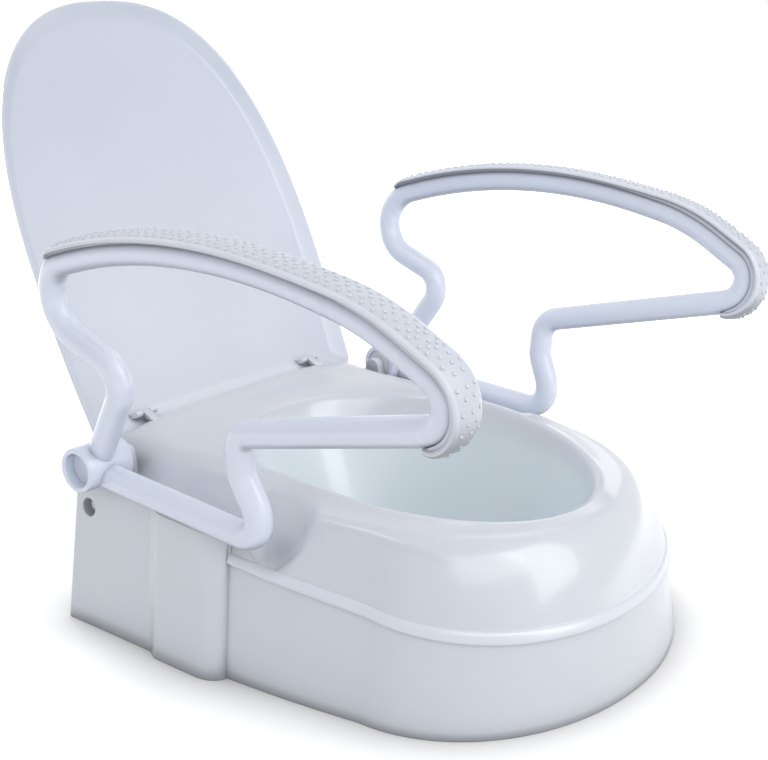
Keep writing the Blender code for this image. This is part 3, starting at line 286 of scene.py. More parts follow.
def skirt_ring(z_of, proud=0.0, edge=0.0, inset=0.0):
    """A ring of the skirt, leaning in with height. Proud stands out round the front."""
    ring = []
    for x, y, rear in OUTLINE:
        z = z_of(y, rear)
        beside = smooth(abs(x), LEDGE_TOE_X - TOE_BLEND, LEDGE_TOE_X + TOE_BLEND)
        out = -edge * beside if rear else proud
        lean = inset + draft(y) * z - out
        side = 1.0 if x > 0.0 else -1.0
        if y <= NOSE_CENTRE_Y:
            x_share = abs(x) / NOSE_HALF_WIDTH
            y_share = (NOSE_CENTRE_Y - y) / NOSE_LENGTH
            ring.append((side * x_share * (NOSE_HALF_WIDTH - lean),
                         NOSE_CENTRE_Y - y_share * (NOSE_LENGTH - lean), z))
        elif y < REAR_Y - REAR_CORNER_R:
            share = max(0.0, y - PANEL_FRONT_Y) / (REAR_Y - REAR_CORNER_R - PANEL_FRONT_Y)
            ring.append((x - side * lean, y - lean * share, z))
        else:
            corner_x = PANEL_X - REAR_CORNER_R
            share = min(1.0, abs(x) / corner_x)
            ring.append((x - side * lean * share, y - lean, z))
    return ring


def between(before, start, end, after, share):
    """A point on the smooth curve from start to end that passes its two neighbours."""
    spans = [(b - a).length + 1e-9 for a, b in ((before, start), (start, end), (end, after))]
    leave = ((start - before) / spans[0] * spans[1] + (end - start) / spans[1] * spans[0]) / (
        spans[0] + spans[1]) * spans[1]
    reach = ((end - start) / spans[1] * spans[2] + (after - end) / spans[2] * spans[1]) / (
        spans[1] + spans[2]) * spans[1]
    two, three = share * share, share * share * share
    return (start * (2 * three - 3 * two + 1) + leave * (three - 2 * two + share)
            + end * (3 * two - 2 * three) + reach * (three - two))


def rounded_rings(rings, counts):
    """Rings between the second and the last but one of a few, on one smooth surface."""
    made = []
    for at, count in enumerate(counts, 1):
        four = rings[at - 1:at + 3]
        for i in range(1, count + 1):
            made.append([between(*[Vector(ring[k]) for ring in four], i / count)
                         for k in range(len(four[0]))])
    return made


def hood_rings():
    """Rings of the hood's skin, from the floor up over the dome and down the funnel."""
    rings = [skirt_ring(lambda y, rear: 0.0, inset=FOOT_EDGE_R),
             skirt_ring(lambda y, rear: FOOT_EDGE_R)]
    for share in SKIRT_SHARES:
        def height(y, rear, share=share):
            end = ledge_z(y) - LEDGE_EDGE_R if rear else bead_z(y) - BEAD_HEIGHT
            return end * share
        rings.append(skirt_ring(height))
    for degrees in BEAD_DEGREES:
        swing = math.radians(degrees)
        share = 0.5 - 0.5 * math.cos(swing)
        proud = (BEAD_PROUD * min(1.0, BEAD_FULLNESS * math.sin(swing))
                 * (1.0 - BEAD_FALL * share))
        turn = math.radians(degrees / 2.0)

        def bead_height(y, rear, share=share, turn=turn):
            if rear:
                return ledge_z(y) - LEDGE_EDGE_R * (1.0 - math.sin(turn))
            return bead_z(y) - BEAD_HEIGHT * (1.0 - share)
        rings.append(skirt_ring(bead_height, proud, LEDGE_EDGE_R * (1.0 - math.cos(turn))))
    base = rings[-1]
    shoulder = oval_ring(SHOULDER, shoulder_z, rear_power=6.0)
    for i in range(1, DOME_STEPS):
        out = math.cos(math.radians(90.0) * (i / DOME_STEPS)) ** DOME_SPREAD
        ring = []
        for low, high in zip(base, shoulder):
            rear = smooth(low[1], *REAR_BLEND)
            power = mix(DOME_POWER, REAR_DOME_POWER, rear)
            rise = (1.0 - out ** power) ** (1.0 / mix(DOME_ROOT, REAR_DOME_POWER, rear))
            ring.append((mix(high[0], low[0], out), mix(high[1], low[1], out),
                         mix(low[2], high[2], rise)))
        rings.append(lowered(ring))
    rings.append(lowered(shoulder))
    few = rings[-4:-3] + rings[-1:] + [lowered(oval_ring(TOP, top_z, rear_power=5.0))]
    for drop, grow, power in RIM_STEPS:
        few.append(oval_ring(RIM, lambda y: rim_z(y) - drop, grow, power))
    for share in FUNNEL_SHARES:
        inward = share * (1.0 - FUNNEL_FLARE + FUNNEL_FLARE * share)
        oval = [mix(rim, end, inward) for rim, end in zip(RIM, FUNNEL)]
        few.append(oval_ring(oval, lambda y: mix(rim_z(y), FUNNEL_BOTTOM_Z, share)))
    return rings + rounded_rings(few, (6, 6, 5, 5, 5, 3, 3))


def arc(radius, first, last):
    """Points of an arc about the origin from one angle to another, every ten degrees."""
    return [(radius * math.cos(math.radians(a)), radius * math.sin(math.radians(a)))
            for a in range(first, last, 10)]


def shell_from_rings(rings):
    """A skin that grows ring by ring from its first loop. All rings have equal counts."""
    bm = bmesh.new()
    made = bmesh.ops.create_circle(bm, cap_ends=False, radius=1.0, segments=len(rings[0]))
    loop = sorted(made["verts"], key=lambda v: math.atan2(v.co.y, v.co.x))
    edges = list(bm.edges)
    for vert, place in zip(loop, rings[0]):
        vert.co = place
    for ring in rings[1:]:
        grown = bmesh.ops.extrude_edge_only(bm, edges=edges)["geom"]
        edges = [part for part in grown if isinstance(part, bmesh.types.BMEdge)]
        fresh = set(part for part in grown if isinstance(part, bmesh.types.BMVert))
        edges = [edge for edge in edges if edge.verts[0] in fresh and edge.verts[1] in fresh]
        loop = [next(edge.other_vert(vert) for edge in vert.link_edges
                     if edge.other_vert(vert) in fresh) for vert in loop]
        for vert, place in zip(loop, ring):
            vert.co = place
    return bm


def piece(name, bm, material, body, smooth_deg=40.0):
    """An object made of a mesh, in the frame's place, on a body."""
    bmesh.ops.recalc_face_normals(bm, faces=bm.faces)
    mesh = bpy.data.meshes.new(name)
    bm.to_mesh(mesh)
    bm.free()
    mesh.shade_smooth()
    mesh.set_sharp_from_angle(angle=math.radians(smooth_deg))
    mesh.materials.append(material)
    item = bpy.data.objects.new(name, mesh)
    scene.collection.objects.link(item)
    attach(item, body)
    return item


def wire(owner, item, inputs):
    """Sets inputs of a node to values, or links them to sockets of other nodes."""
    for key, value in inputs.items():
        if isinstance(value, bpy.types.NodeSocket):
            owner.node_tree.links.new(value, item.inputs[key])
        else:
            item.inputs[key].default_value = value
    return item


def node(owner, kind, inputs, **settings):
    """Adds a shader node to a material or a world."""
    item = owner.node_tree.nodes.new("ShaderNode" + kind)
    for name, value in settings.items():
        setattr(item, name, value)
    return wire(owner, item, inputs)


def moulded(name, colour, roughness, grain=900.0, bump=0.02, coat=0.0, mottle=0.03):
    """Moulded plastic: a faint uneven tone, uneven gloss and a fine orange peel."""
    material = bpy.data.materials.new(name)
    material.use_nodes = True
    place = node(material, "TexCoord", {}).outputs["Object"]
    cloud = node(material, "TexNoise", {"Scale": 9.0, "Detail": 3.0, "Vector": place})
    tone = node(material, "Mix", {"A": (*[c * (1.0 - mottle) for c in colour], 1.0),
                                  "B": (*[min(1.0, c * (1.0 + mottle)) for c in colour], 1.0),
                                  "Factor": cloud.outputs["Fac"]}, data_type="RGBA")
    gloss = node(material, "MapRange", {"To Min": roughness * 0.85, "To Max": roughness * 1.2,
                                        "Value": cloud.outputs["Fac"]})
    peel = node(material, "TexNoise", {"Scale": grain, "Detail": 2.0, "Vector": place})
    ripple = node(material, "Bump", {"Strength": bump, "Distance": 0.0006,
                                     "Height": peel.outputs["Fac"]})
    wire(material, material.node_tree.nodes["Principled BSDF"], {
        "Base Color": tone.outputs["Result"], "Roughness": gloss.outputs["Result"],
        "Normal": ripple.outputs["Normal"], "Coat Weight": coat, "Coat Roughness": 0.06})
    return material


def ramp(owner, socket, start, end, low=0.0, high=1.0):
    """A socket that goes softly from low to high while another goes from start to end."""
    return node(owner, "MapRange", {"Value": socket, "From Min": start, "From Max": end,
                                    "To Min": low, "To Max": high},
                interpolation_type="SMOOTHSTEP").outputs["Result"]


def tinted(material, factor, share):
    """Multiplies a material's colour by three shares where the factor's socket is 1."""
    shader = material.node_tree.nodes["Principled BSDF"]
    own = shader.inputs["Base Color"].links[0].from_socket
    tint = node(material, "Mix", {"Factor": factor, "A": own, "B": (*share, 1.0)},
                data_type="RGBA", blend_type="MULTIPLY")
    wire(material, shader, {"Base Color": tint.outputs["Result"]})


def paint_contact_shade(material, reach, share, start=0.95):
    """Painted contact shade: darkens a material where other surfaces stand close, found by ambient
    occlusion.
    """
    near = node(material, "AmbientOcclusion", {"Distance": reach}, samples=6)
    tinted(material, ramp(material, near.outputs["AO"], start, 0.30), (share, share, share))


def paint_underside_shade(material, start, end, share):
    """Painted shade: darkens a material where it faces down."""
    facing = node(material, "NewGeometry", {})
    parts = node(material, "SeparateXYZ", {"Vector": facing.outputs["Normal"]})
    tinted(material, ramp(material, parts.outputs["Z"], start, end), (share, share, share))


def prism(bm, outline, reach, edge_r=0.0):
    """Adds a solid that carries a flat outline along a vector, with its end edges rounded."""
    base = bmesh.ops.contextual_create(
        bm, geom=[bm.verts.new(point) for point in outline])["faces"]
    grown = bmesh.ops.extrude_face_region(bm, geom=base, use_keep_orig=True)["geom"]
    far = [part for part in grown if isinstance(part, bmesh.types.BMVert)]
    bmesh.ops.translate(bm, vec=reach, verts=far)
    if edge_r:
        caps = base + [part for part in grown if isinstance(part, bmesh.types.BMFace)]
        rims = list({edge for face in caps for edge in face.edges})
        bmesh.ops.bevel(bm, geom=rims, offset=edge_r, segments=3, affect="EDGES", profile=0.5,
                        material=-1)
    return far


hood_white = moulded("hood_gloss", (0.648, 0.682, 0.742), 0.24, grain=420.0, bump=0.015,
                     coat=0.6)
# Painted shade on the hood where other surfaces stand close.
paint_contact_shade(hood_white, 0.035, 0.50, 0.85)
place = node(hood_white, "TexCoord", {}).outputs["Object"]
parts = node(hood_white, "SeparateXYZ", {"Vector": place})

# Painted light in the funnel: the colour is lighter and bluer inside the opening's oval, standing
# in for light from the floor below. Inward is 1 at the oval's edge, 0 in its middle.
oval = node(hood_white, "Mapping", {"Vector": place, "Location": (0.0, RING_Y + SHIFT, 0.0),
                                    "Scale": (RIM[0], RIM[1], 1000.0)}, vector_type="TEXTURE")
inward = node(hood_white, "VectorMath", {0: oval.outputs["Vector"]},
              operation="LENGTH").outputs["Value"]
tinted(hood_white, ramp(hood_white, inward, 1.0, 0.93), (1.17, 1.22, 1.18))

# Painted shade in the scoops: the colour darkens towards a point in each scoop beside the rail's
# front bend, where the rail's shadow falls.
across = node(hood_white, "Math", {0: parts.outputs["X"]}, operation="ABSOLUTE")
spot = node(hood_white, "CombineXYZ", {"X": across.outputs["Value"], "Y": parts.outputs["Y"],
                                       "Z": parts.outputs["Z"]})
SCOOP_SHADE_AT = (SCOOP_X - 0.003, SCOOP_Y + SHIFT - 0.004, 0.136)
away = node(hood_white, "VectorMath", {0: spot.outputs["Vector"], 1: SCOOP_SHADE_AT},
            operation="DISTANCE").outputs["Value"]
tinted(hood_white, ramp(hood_white, away, 0.028, 0.008), (0.70, 0.72, 0.74))

# Painted light on the bead: the band below its sloping upper edge, as far as the crease, is a
# little brighter, standing in for the light its upper face catches.
rise = node(hood_white, "VectorMath", {0: place, 1: (0.0, -BEAD_SLOPE, 1.0)},
            operation="DOT_PRODUCT").outputs["Value"]
bead_edge = BEAD_NOSE_Z + BEAD_SLOPE * (NOSE_LENGTH - NOSE_CENTRE_Y - SHIFT)
lit = ramp(hood_white, rise, bead_edge - BEAD_HEIGHT, bead_edge - 0.0090)
for socket, start, end in ((rise, bead_edge + 0.0004, bead_edge - 0.0010),
                           (parts.outputs["Y"], CREASE_Y + SHIFT, CREASE_Y + SHIFT - 0.004),
                           (inward, 1.05, 1.10)):
    lit = node(hood_white, "Math", {0: lit, 1: ramp(hood_white, socket, start, end)},
               operation="MULTIPLY").outputs["Value"]
tinted(hood_white, lit, (1.09, 1.09, 1.10))

skin = [[(x, y + SHIFT, z) for x, y, z in ring] for ring in hood_rings()]
hood_mesh = shell_from_rings(skin)
hood_mesh.verts.ensure_lookup_table()
dome_top = [vert for vert in hood_mesh.verts
            if vert.co.z > RIM_FRONT_Z - 0.03 and not vert.is_boundary
            and math.hypot(vert.co.x / (SHOULDER[0] + 0.004),
                           (vert.co.y - SHIFT - RING_Y) / (SHOULDER[1] + 0.006)) < 1.0]
for _ in range(DOME_SMOOTHING):
    bmesh.ops.smooth_vert(hood_mesh, verts=dome_top, factor=0.5, use_axis_x=True,
                          use_axis_y=True, use_axis_z=True)
bmesh.ops.recalc_face_normals(hood_mesh, faces=hood_mesh.faces)
hood_tree = BVHTree.FromBMesh(hood_mesh)

RECESS_Y = 0.217 + SHIFT
RECESS_Z = 0.124
RECESS_R = 0.0095
RECESS_DEPTH = 0.009
RECESS_STEPS = ((0.0004, 0.985), (0.001, 0.965), (RECESS_DEPTH, 0.93),
                (RECESS_DEPTH + 0.0005, 0.88))      # (depth, share of the radius)
for side in (-1.0, 1.0):
    centre = Vector((side * (PANEL_X - DRAFT * RECESS_Z), RECESS_Y, RECESS_Z))
    near = [face for face in hood_mesh.faces
            if (face.calc_center_median() - centre).length < RECESS_R * 2.6]
    local = list({part for face in near for part in (*face.verts, *face.edges)}) + near
    for turn in range(32):
        angle = math.radians(360.0) * turn / 32
        outward = Vector((0.0, math.cos(angle), math.sin(angle)))
        local = bmesh.ops.bisect_plane(hood_mesh, geom=local, dist=1e-7, plane_no=outward,
                                       plane_co=centre + outward * RECESS_R)["geom"]
    inside = [part for part in local if isinstance(part, bmesh.types.BMFace)
              and math.hypot(part.calc_center_median().y - RECESS_Y,
                             part.calc_center_median().z - RECESS_Z) < RECESS_R * 0.995]
    mouth = [edge for edge in {edge for face in inside for edge in face.edges}
             if sum(face in inside for face in edge.link_faces) == 1]
    bmesh.ops.delete(hood_mesh, geom=inside, context="FACES")
    for depth, shrink in RECESS_STEPS:
        grown = bmesh.ops.extrude_edge_only(hood_mesh, edges=mouth)["geom"]
        mouth = [part for part in grown if isinstance(part, bmesh.types.BMEdge)]
        for vert in {vert for edge in mouth for vert in edge.verts}:
            away = Vector((0.0, vert.co.y - RECESS_Y, vert.co.z - RECESS_Z)).normalized()
            skin_x = side * (PANEL_X - DRAFT * vert.co.z)
            vert.co = (skin_x - side * depth, RECESS_Y + away.y * RECESS_R * shrink,
                       RECESS_Z + away.z * RECESS_R * shrink)
        mouth = [edge for edge in mouth if edge.is_boundary]
    bmesh.ops.edgeloop_fill(hood_mesh, edges=mouth)
hood = piece("hood", hood_mesh, hood_white, "body", 50.0)
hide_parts("body_shell")
wall = hood.modifiers.new("Wall", "SOLIDIFY")
wall.thickness = WALL
wall.offset = -1.0


# Hood fittings
# The hood carries a post under each hub and two ears for the lid's pin. Below, crossed
# ribs stand on plates on the bowl's rim and two slotted shoes take the fixing bolts.

POST_INNER_X = 0.191
POST_OUTER_X = 0.2028
POST_R = 0.0095
POST_SPREAD = 1.35
LUG_X = 0.128
LUG_WIDTH = 0.010
EAR_R = 0.0033
HINGE_Y = 0.2405
HINGE_Z = 0.192
FOOT_X = 0.152
FOOT_PLACES = (-0.085, 0.105)
FOOT_Z = 0.0593
FOOT_WIDTH = 0.030
FOOT_LENGTH = 0.046
FOOT_THICK = 0.0036
FOOT_RIM = 0.001
RIB_LAP = 0.001
PLATE_EDGE_R = 0.0004
SHOE_X = 0.0775
SHOE_Y = 0.190
SHOE_Z = 0.055
SHOE_WIDTH = 0.050
SHOE_LENGTH = 0.046
SHOE_THICK = 0.005
SHOE_CORNER_R = 0.0012
SLOT_LAP = 0.0015
SLOT_STEP = 0.0001
SIDES = (("right", -1.0), ("left", 1.0))
SLOT_HALF = 0.0043
SLOT_REACH = 0.0163


def under_hood(x, y):
    """Height just inside the hood's wall above a place, its Y counted like the sizes."""
    hit = hood_tree.ray_cast(Vector((x, y + SHIFT, SHOE_Z)), Vector((0.0, 0.0, 1.0)))[0]
    return hit.z - WALL * 0.5


def standing_rib(bm, start, end, floor_z):
    """A rib of the wall's thickness from a floor height up into the hood."""
    one, two = Vector(start), Vector(end)
    aside = (two - one).normalized().orthogonal() * WALL / 2.0
    along = [one.lerp(two, i / 8.0) for i in range(9)]
    outline = [(p.x - aside.x, p.y + SHIFT - aside.y, under_hood(p.x, p.y)) for p in along]
    outline += [(p.x - aside.x, p.y + SHIFT - aside.y, floor_z) for p in (two, one)]
    prism(bm, outline, (aside.x * 2.0, aside.y * 2.0, 0.0))


def rounded_plate(bm, centre, half_x, half_y, low, high, corner_r=0.004):
    """A flat plate with rounded corners and softened edges."""
    outline = []
    for quarter, (sx, sy) in enumerate(((1, 1), (-1, 1), (-1, -1), (1, -1))):
        for step in range(5):
            angle = math.radians(90.0 * quarter + 22.5 * step)
            outline.append((centre[0] + sx * (half_x - corner_r) + corner_r * math.cos(angle),
                            centre[1] + sy * (half_y - corner_r) + corner_r * math.sin(angle),
                            low))
    prism(bm, outline, (0.0, 0.0, high - low), PLATE_EDGE_R)


for side_name, side in SIDES:
    post_mesh = bmesh.new()
    inner, outer = sorted((side * POST_INNER_X, side * POST_OUTER_X))
    outline = [(inner, HUB_Y + SHIFT + y, HUB_Z + z) for y, z in arc(POST_R, 0, 181)]
    foot_z = LEDGE_REAR_Z - WALL * 0.7
    outline += [(inner, HUB_Y + SHIFT + POST_R * POST_SPREAD * way, foot_z) for way in (-1, 1)]
    prism(post_mesh, outline, (outer - inner, 0.0, 0.0), 0.0008)
    post = piece(side_name + "_post", post_mesh, hood_white, "body", 30.0)
    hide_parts("body_shell")

    lug_mesh = bmesh.new()
    inner = side * LUG_X - LUG_WIDTH / 2
    root_y = REAR_Y - DRAFT * HINGE_Z - 0.012
    root_z = top_z(root_y) - WALL * 0.5
    outline = [(inner, HINGE_Y + SHIFT + y, HINGE_Z + z) for y, z in arc(EAR_R, -90, 91)]
    outline += [(inner, root_y + SHIFT, root_z), (inner, root_y + SHIFT, root_z - EAR_R)]
    prism(lug_mesh, outline, (LUG_WIDTH, 0.0, 0.0), 0.0006)
    lug = piece(side_name + "_lug", lug_mesh, hood_white, "body", 30.0)
    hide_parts("body_shell")

    for place_name, y in zip(("front", "rear"), FOOT_PLACES):
        foot_mesh = bmesh.new()
        x = side * FOOT_X
        half_x, half_y = FOOT_WIDTH / 2, FOOT_LENGTH / 2
        for way_x, way_y in ((half_x, 0.0), (0.0, half_y)):
            standing_rib(foot_mesh, (x - way_x, y - way_y), (x + way_x, y + way_y),
                         FOOT_Z + RIB_LAP)
        rounded_plate(foot_mesh, (x, y + SHIFT), half_x + FOOT_RIM, half_y + FOOT_RIM,
                      FOOT_Z, FOOT_Z + FOOT_THICK)
        foot = piece(side_name + "_" + place_name + "_foot", foot_mesh, hood_white, "body",
                     30.0)
        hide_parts("body_shell")

    shoe_mesh = bmesh.new()
    x, y = side * SHOE_X, SHOE_Y
    half_x, half_y = SHOE_WIDTH / 2, SHOE_LENGTH / 2
    for rib_x in (x - half_x + WALL / 2, x + half_x - WALL / 2):
        standing_rib(shoe_mesh, (rib_x, y - half_y), (rib_x, y + half_y), SHOE_Z + RIB_LAP)
    for way in (-1.0, 1.0):
        bar_x = x + way * (half_x + SLOT_HALF) / 2
        rounded_plate(shoe_mesh, (bar_x, y + SHIFT), (half_x - SLOT_HALF) / 2, half_y, SHOE_Z,
                      SHOE_Z + SHOE_THICK, SHOE_CORNER_R)
        end_y = y + way * (half_y + SLOT_REACH) / 2
        rounded_plate(shoe_mesh, (x, end_y + SHIFT), SLOT_HALF + SLOT_LAP,
                      (half_y - SLOT_REACH) / 2, SHOE_Z + SLOT_STEP,
                      SHOE_Z + SHOE_THICK - SLOT_STEP, SHOE_CORNER_R)
    shoe = piece(side_name + "_shoe", shoe_mesh, hood_white, "body", 30.0)
    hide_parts("body_shell")


# Arm rails
# Bent white coated tubes in closed loops that start and end on a cross sleeve at the
# hub. A bright, slightly bluish powder coat.

TUBE_R = 0.0127
ARM_X = 0.232
ARM_LEAN = 0.125
ARM_SPLAY = 0.02
CORNERS = (
    (0.0, 0.0, 0.0),
    (-0.0694, 0.1050, 0.0265),
    (0.0205, 0.1390, 0.0395),
    (0.0205, 0.1960, 0.0395),
    (-0.1653, 0.2509, 0.600),
    (-0.3638, 0.2084, 0.200),
    (-0.4330, 0.1673, 0.0244),
    (-0.4330, 0.1341, 0.0244),
    (-0.2052, 0.0792, 0.022),
    (-0.2046, 0.0400, 0.030),
    (-0.2180, 0.0100, 0.030),
    (-0.2180, -0.0221, 0.022),
    (0.0, -0.0076, 0.0),
)
WIDE_BEND_R = 0.1
WIDE_BEND_STEP = 1.2      # degrees
BEND_STEP = 5.0


def rounded_path(corners):
    """Points of a path with rounded corners, and each corner's first and last."""
    points = [corners[0][:2]]
    marks = []
    for before, corner, after in zip(corners, corners[1:], corners[2:]):
        here = Vector(corner[:2])
        back = (Vector(before[:2]) - here).normalized()
        ahead = (Vector(after[:2]) - here).normalized()
        turn = math.pi - back.angle(ahead)
        reach = corner[2] * math.tan(turn / 2)
        centre = here + (back + ahead).normalized() * math.hypot(reach, corner[2])
        start = here + back * reach - centre
        leave = here + ahead * reach - centre
        sign = 1.0 if start.x * leave.y - start.y * leave.x > 0 else -1.0
        steps = max(6, round(math.degrees(turn) / (
            WIDE_BEND_STEP if corner[2] > WIDE_BEND_R else BEND_STEP)))
        first = len(points)
        for i in range(steps + 1):
            angle = sign * turn * i / steps
            points.append((centre.x + start.x * math.cos(angle) - start.y * math.sin(angle),
                           centre.y + start.x * math.sin(angle) + start.y * math.cos(angle)))
        marks.append((first, len(points) - 1))
    points.append(corners[-1][:2])
    return points, marks


def arm_point(side, along, up):
    return Vector((side * (ARM_X + ARM_LEAN * up - ARM_SPLAY * along),
                   HUB_Y + SHIFT + along, HUB_Z + up))


def arm_way(side, along, up):
    return Vector((side * (ARM_LEAN * up - ARM_SPLAY * along), along, up)).normalized()


def run_frames(side, points):
    """Place, across and out directions at each point of a run in an arm's plane."""
    frames = []
    for i, here in enumerate(points):
        before = Vector(points[max(i - 1, 0)])
        after = Vector(points[min(i + 1, len(points) - 1)])
        way = (after - before).normalized()
        along = arm_way(side, way.x, way.y)
        out = arm_way(side, way.y, -way.x)
        frames.append((arm_point(side, *here), along.cross(out), out))
    return frames


def swept(frames, section):
    """A skin along frames of (place, across, out), with section(i) giving each loop."""
    rings = []
    for i, (place, across, out) in enumerate(frames):
        rings.append([place + across * u + out * v for u, v in section(i)])
    return shell_from_rings(rings)


path, bends = rounded_path(CORNERS)
coat_white = moulded("tube_coat", (0.735, 0.785, 0.91), 0.26, grain=700.0, bump=0.03, coat=0.3,
                     mottle=0.015)
# Painted shade on the rails: darker where other parts stand close and where the tube faces down.
paint_contact_shade(coat_white, 0.010, 0.60)
paint_underside_shade(coat_white, -0.35, -0.92, 0.45)
circle = arc(TUBE_R, 0, 360)
for name, side in SIDES:
    rail_mesh = swept(run_frames(side, path), lambda i: circle)
    rail = piece(name + "_rail", rail_mesh, coat_white, name + "_arm")
    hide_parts(name + "_arm_tube")


# Hub sleeves
# A short open tube across each rail's lower end. Its outer end is an open bore with a
# thin bright rim.

SLEEVE_R = 0.022
SLEEVE_BORE_R = 0.0165
SLEEVE_LENGTH = 0.053
SLEEVE_INNER_X = 0.205
SLEEVE_PROFILE = (
    (SLEEVE_BORE_R, 0.0), (SLEEVE_R - 0.0010, 0.0), (SLEEVE_R - 0.0003, 0.0003),
    (SLEEVE_R, 0.0010), (SLEEVE_R, SLEEVE_LENGTH - 0.0024),
    (SLEEVE_R - 0.0004, SLEEVE_LENGTH - 0.0010), (SLEEVE_R - 0.0013, SLEEVE_LENGTH - 0.0002),
    (SLEEVE_R - 0.0024, SLEEVE_LENGTH), (SLEEVE_BORE_R + 0.0012, SLEEVE_LENGTH - 0.0002),
    (SLEEVE_BORE_R + 0.0003, SLEEVE_LENGTH - 0.0010), (SLEEVE_BORE_R, SLEEVE_LENGTH - 0.0022))


def turned(profile, closed):
    """A lathe skin about Z of (radius, height) points."""
    bm = bmesh.new()
    points = [bm.verts.new((radius, 0.0, height)) for radius, height in profile]
    pairs = list(zip(points, points[1:]))
    if closed:
        pairs.append((points[-1], points[0]))
    edges = [bm.edges.new(pair) for pair in pairs]
    bmesh.ops.spin(bm, geom=points + edges, cent=(0.0, 0.0, 0.0), axis=(0.0, 0.0, 1.0),
                   angle=math.radians(360.0), steps=64, use_merge=True)
    bmesh.ops.remove_doubles(bm, verts=bm.verts, dist=1e-6)
    return bm


PLUG_Z = SLEEVE_LENGTH - 0.012
PLUG_PROFILE = (
    (0.0, PLUG_Z - 0.0022), (SLEEVE_BORE_R - 0.004, PLUG_Z - 0.0016),
    (SLEEVE_BORE_R - 0.0015, PLUG_Z - 0.0006), (SLEEVE_BORE_R - 0.0001, PLUG_Z + 0.0004),
    (SLEEVE_BORE_R - 0.0001, PLUG_Z - 0.003), (0.0, PLUG_Z - 0.003))

for name, side in SIDES:
    place = Matrix.Translation((side * SLEEVE_INNER_X, HUB_Y + SHIFT, HUB_Z))
    place = place @ Vector((side, 0.0, 0.0)).to_track_quat("Z", "Y").to_matrix().to_4x4()
    for kind, profile, closed in (("_sleeve", SLEEVE_PROFILE, True),
                                  ("_plug", PLUG_PROFILE, False)):
        hub_mesh = turned(profile, closed)
        bmesh.ops.transform(hub_mesh, matrix=place, verts=hub_mesh.verts)
        hub = piece(name + kind, hub_mesh, coat_white, name + "_arm")
        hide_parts(name + "_hub_sleeve")


# Rail pads
# Soft white strips that sit on the rails from the rear bend round the nose, with a
# crowned top, rounded shoulders, a hooked lip at the front and rows of small nubs.

PAD_HALF_WIDTH = 0.017
PAD_CROWN = 0.0176
PAD_EDGE = 0.0142
PAD_EDGE_THICK = 0.0038
PAD_NOSE_LIFT = 0.0042
PAD_ROUND = 2.2
PAD_START = 0.75                # share of the rear bend that is past where the pad starts
PAD_OVER = 0.003
PAD_STEP = 0.004
PAD_TIP_WIDTH = 0.45
PAD_TIP_BLEND = (-0.010, 0.014)
NOSE_LIFT_START = (0.55, 0.85)
NOSE_LIFT_END = (-0.02, 0.05)
CRADLE_GAP = 0.0003
CRADLE_HALF = 0.0092
CRADLE_SHARE = 0.62
CRADLE_RIB = 0.0016
PAD_SHOULDER = ((0.77, 0.0), (0.87, 0.0001), (0.94, 0.0004), (0.985, 0.0011))  # (across, fall)
PAD_TOP = ([(-share, fall) for share, fall in reversed(PAD_SHOULDER)]
           + [(share, 0.0) for share in (-0.6, -0.4, -0.2, 0.0, 0.2, 0.4, 0.6)]
           + list(PAD_SHOULDER))
pad_white = moulded("pad_satin", (0.68, 0.71, 0.785), 0.34, grain=600.0, bump=0.04,
                    mottle=0.02)
# The grip zone is rougher with a finer peel, and its colour is darker as painted shade: the pad's
# top takes less light than its sides.
pad_grip = moulded("pad_grip", (0.60, 0.635, 0.71), 0.42, grain=1400.0, bump=0.18)
# Painted shade on both pad finishes: darker where other surfaces stand close and where they face
# down.
for soft in (pad_white, pad_grip):
    paint_contact_shade(soft, 0.0035, 0.40)
    paint_underside_shade(soft, -0.05, -0.65, 0.48)


def pad_run():
    """Places along the padded stretch of the rail, in the arm's plane."""
    start = bends[2]
    first = start[0] + round((start[1] - start[0]) * PAD_START)
    last = bends[6][1]
    run = [Vector(point) for point in path[first:last + 1]]
    onward = (Vector(path[last + 1]) - Vector(path[last])).normalized()
    run.append(run[-1] + onward * PAD_OVER)
    return run


def evenly(points, step):
    """The same run with places at most one step apart."""
    made = [points[0]]
    for point in points[1:]:
        gap = (point - made[-1]).length
        count = max(1, math.ceil(gap / step))
        start = made[-1].copy()
        for i in range(1, count + 1):
            made.append(start.lerp(point, i / count))
    return made


run = evenly(pad_run(), PAD_STEP)
lengths = [0.0]
for one, two in zip(run, run[1:]):
    lengths.append(lengths[-1] + (two - one).length)
pad_length = lengths[-1]


def pad_form(travel):
    """Half width, crown height and edge height of the pad at a length along it."""
    share = travel / pad_length
    tip = min(travel, pad_length - travel)
    full = smooth(tip, *PAD_TIP_BLEND)
    half_width = PAD_HALF_WIDTH * mix(PAD_TIP_WIDTH, 1.0, full)
    lift = (PAD_NOSE_LIFT * smooth(share, *NOSE_LIFT_START)
            * smooth(1.0 - share, *NOSE_LIFT_END))
    crown = mix(TUBE_R + 0.0025, PAD_CROWN, full) + lift
    edge = mix(TUBE_R - 0.0001, PAD_EDGE, full) + lift
    return half_width, crown, edge


def pad_top(travel, across):
    """Height of the pad's top above the rail's centre line, across from -1 to 1."""
    crown, edge = pad_form(travel)[1:]
    return crown - (crown - edge) * abs(across) ** PAD_ROUND


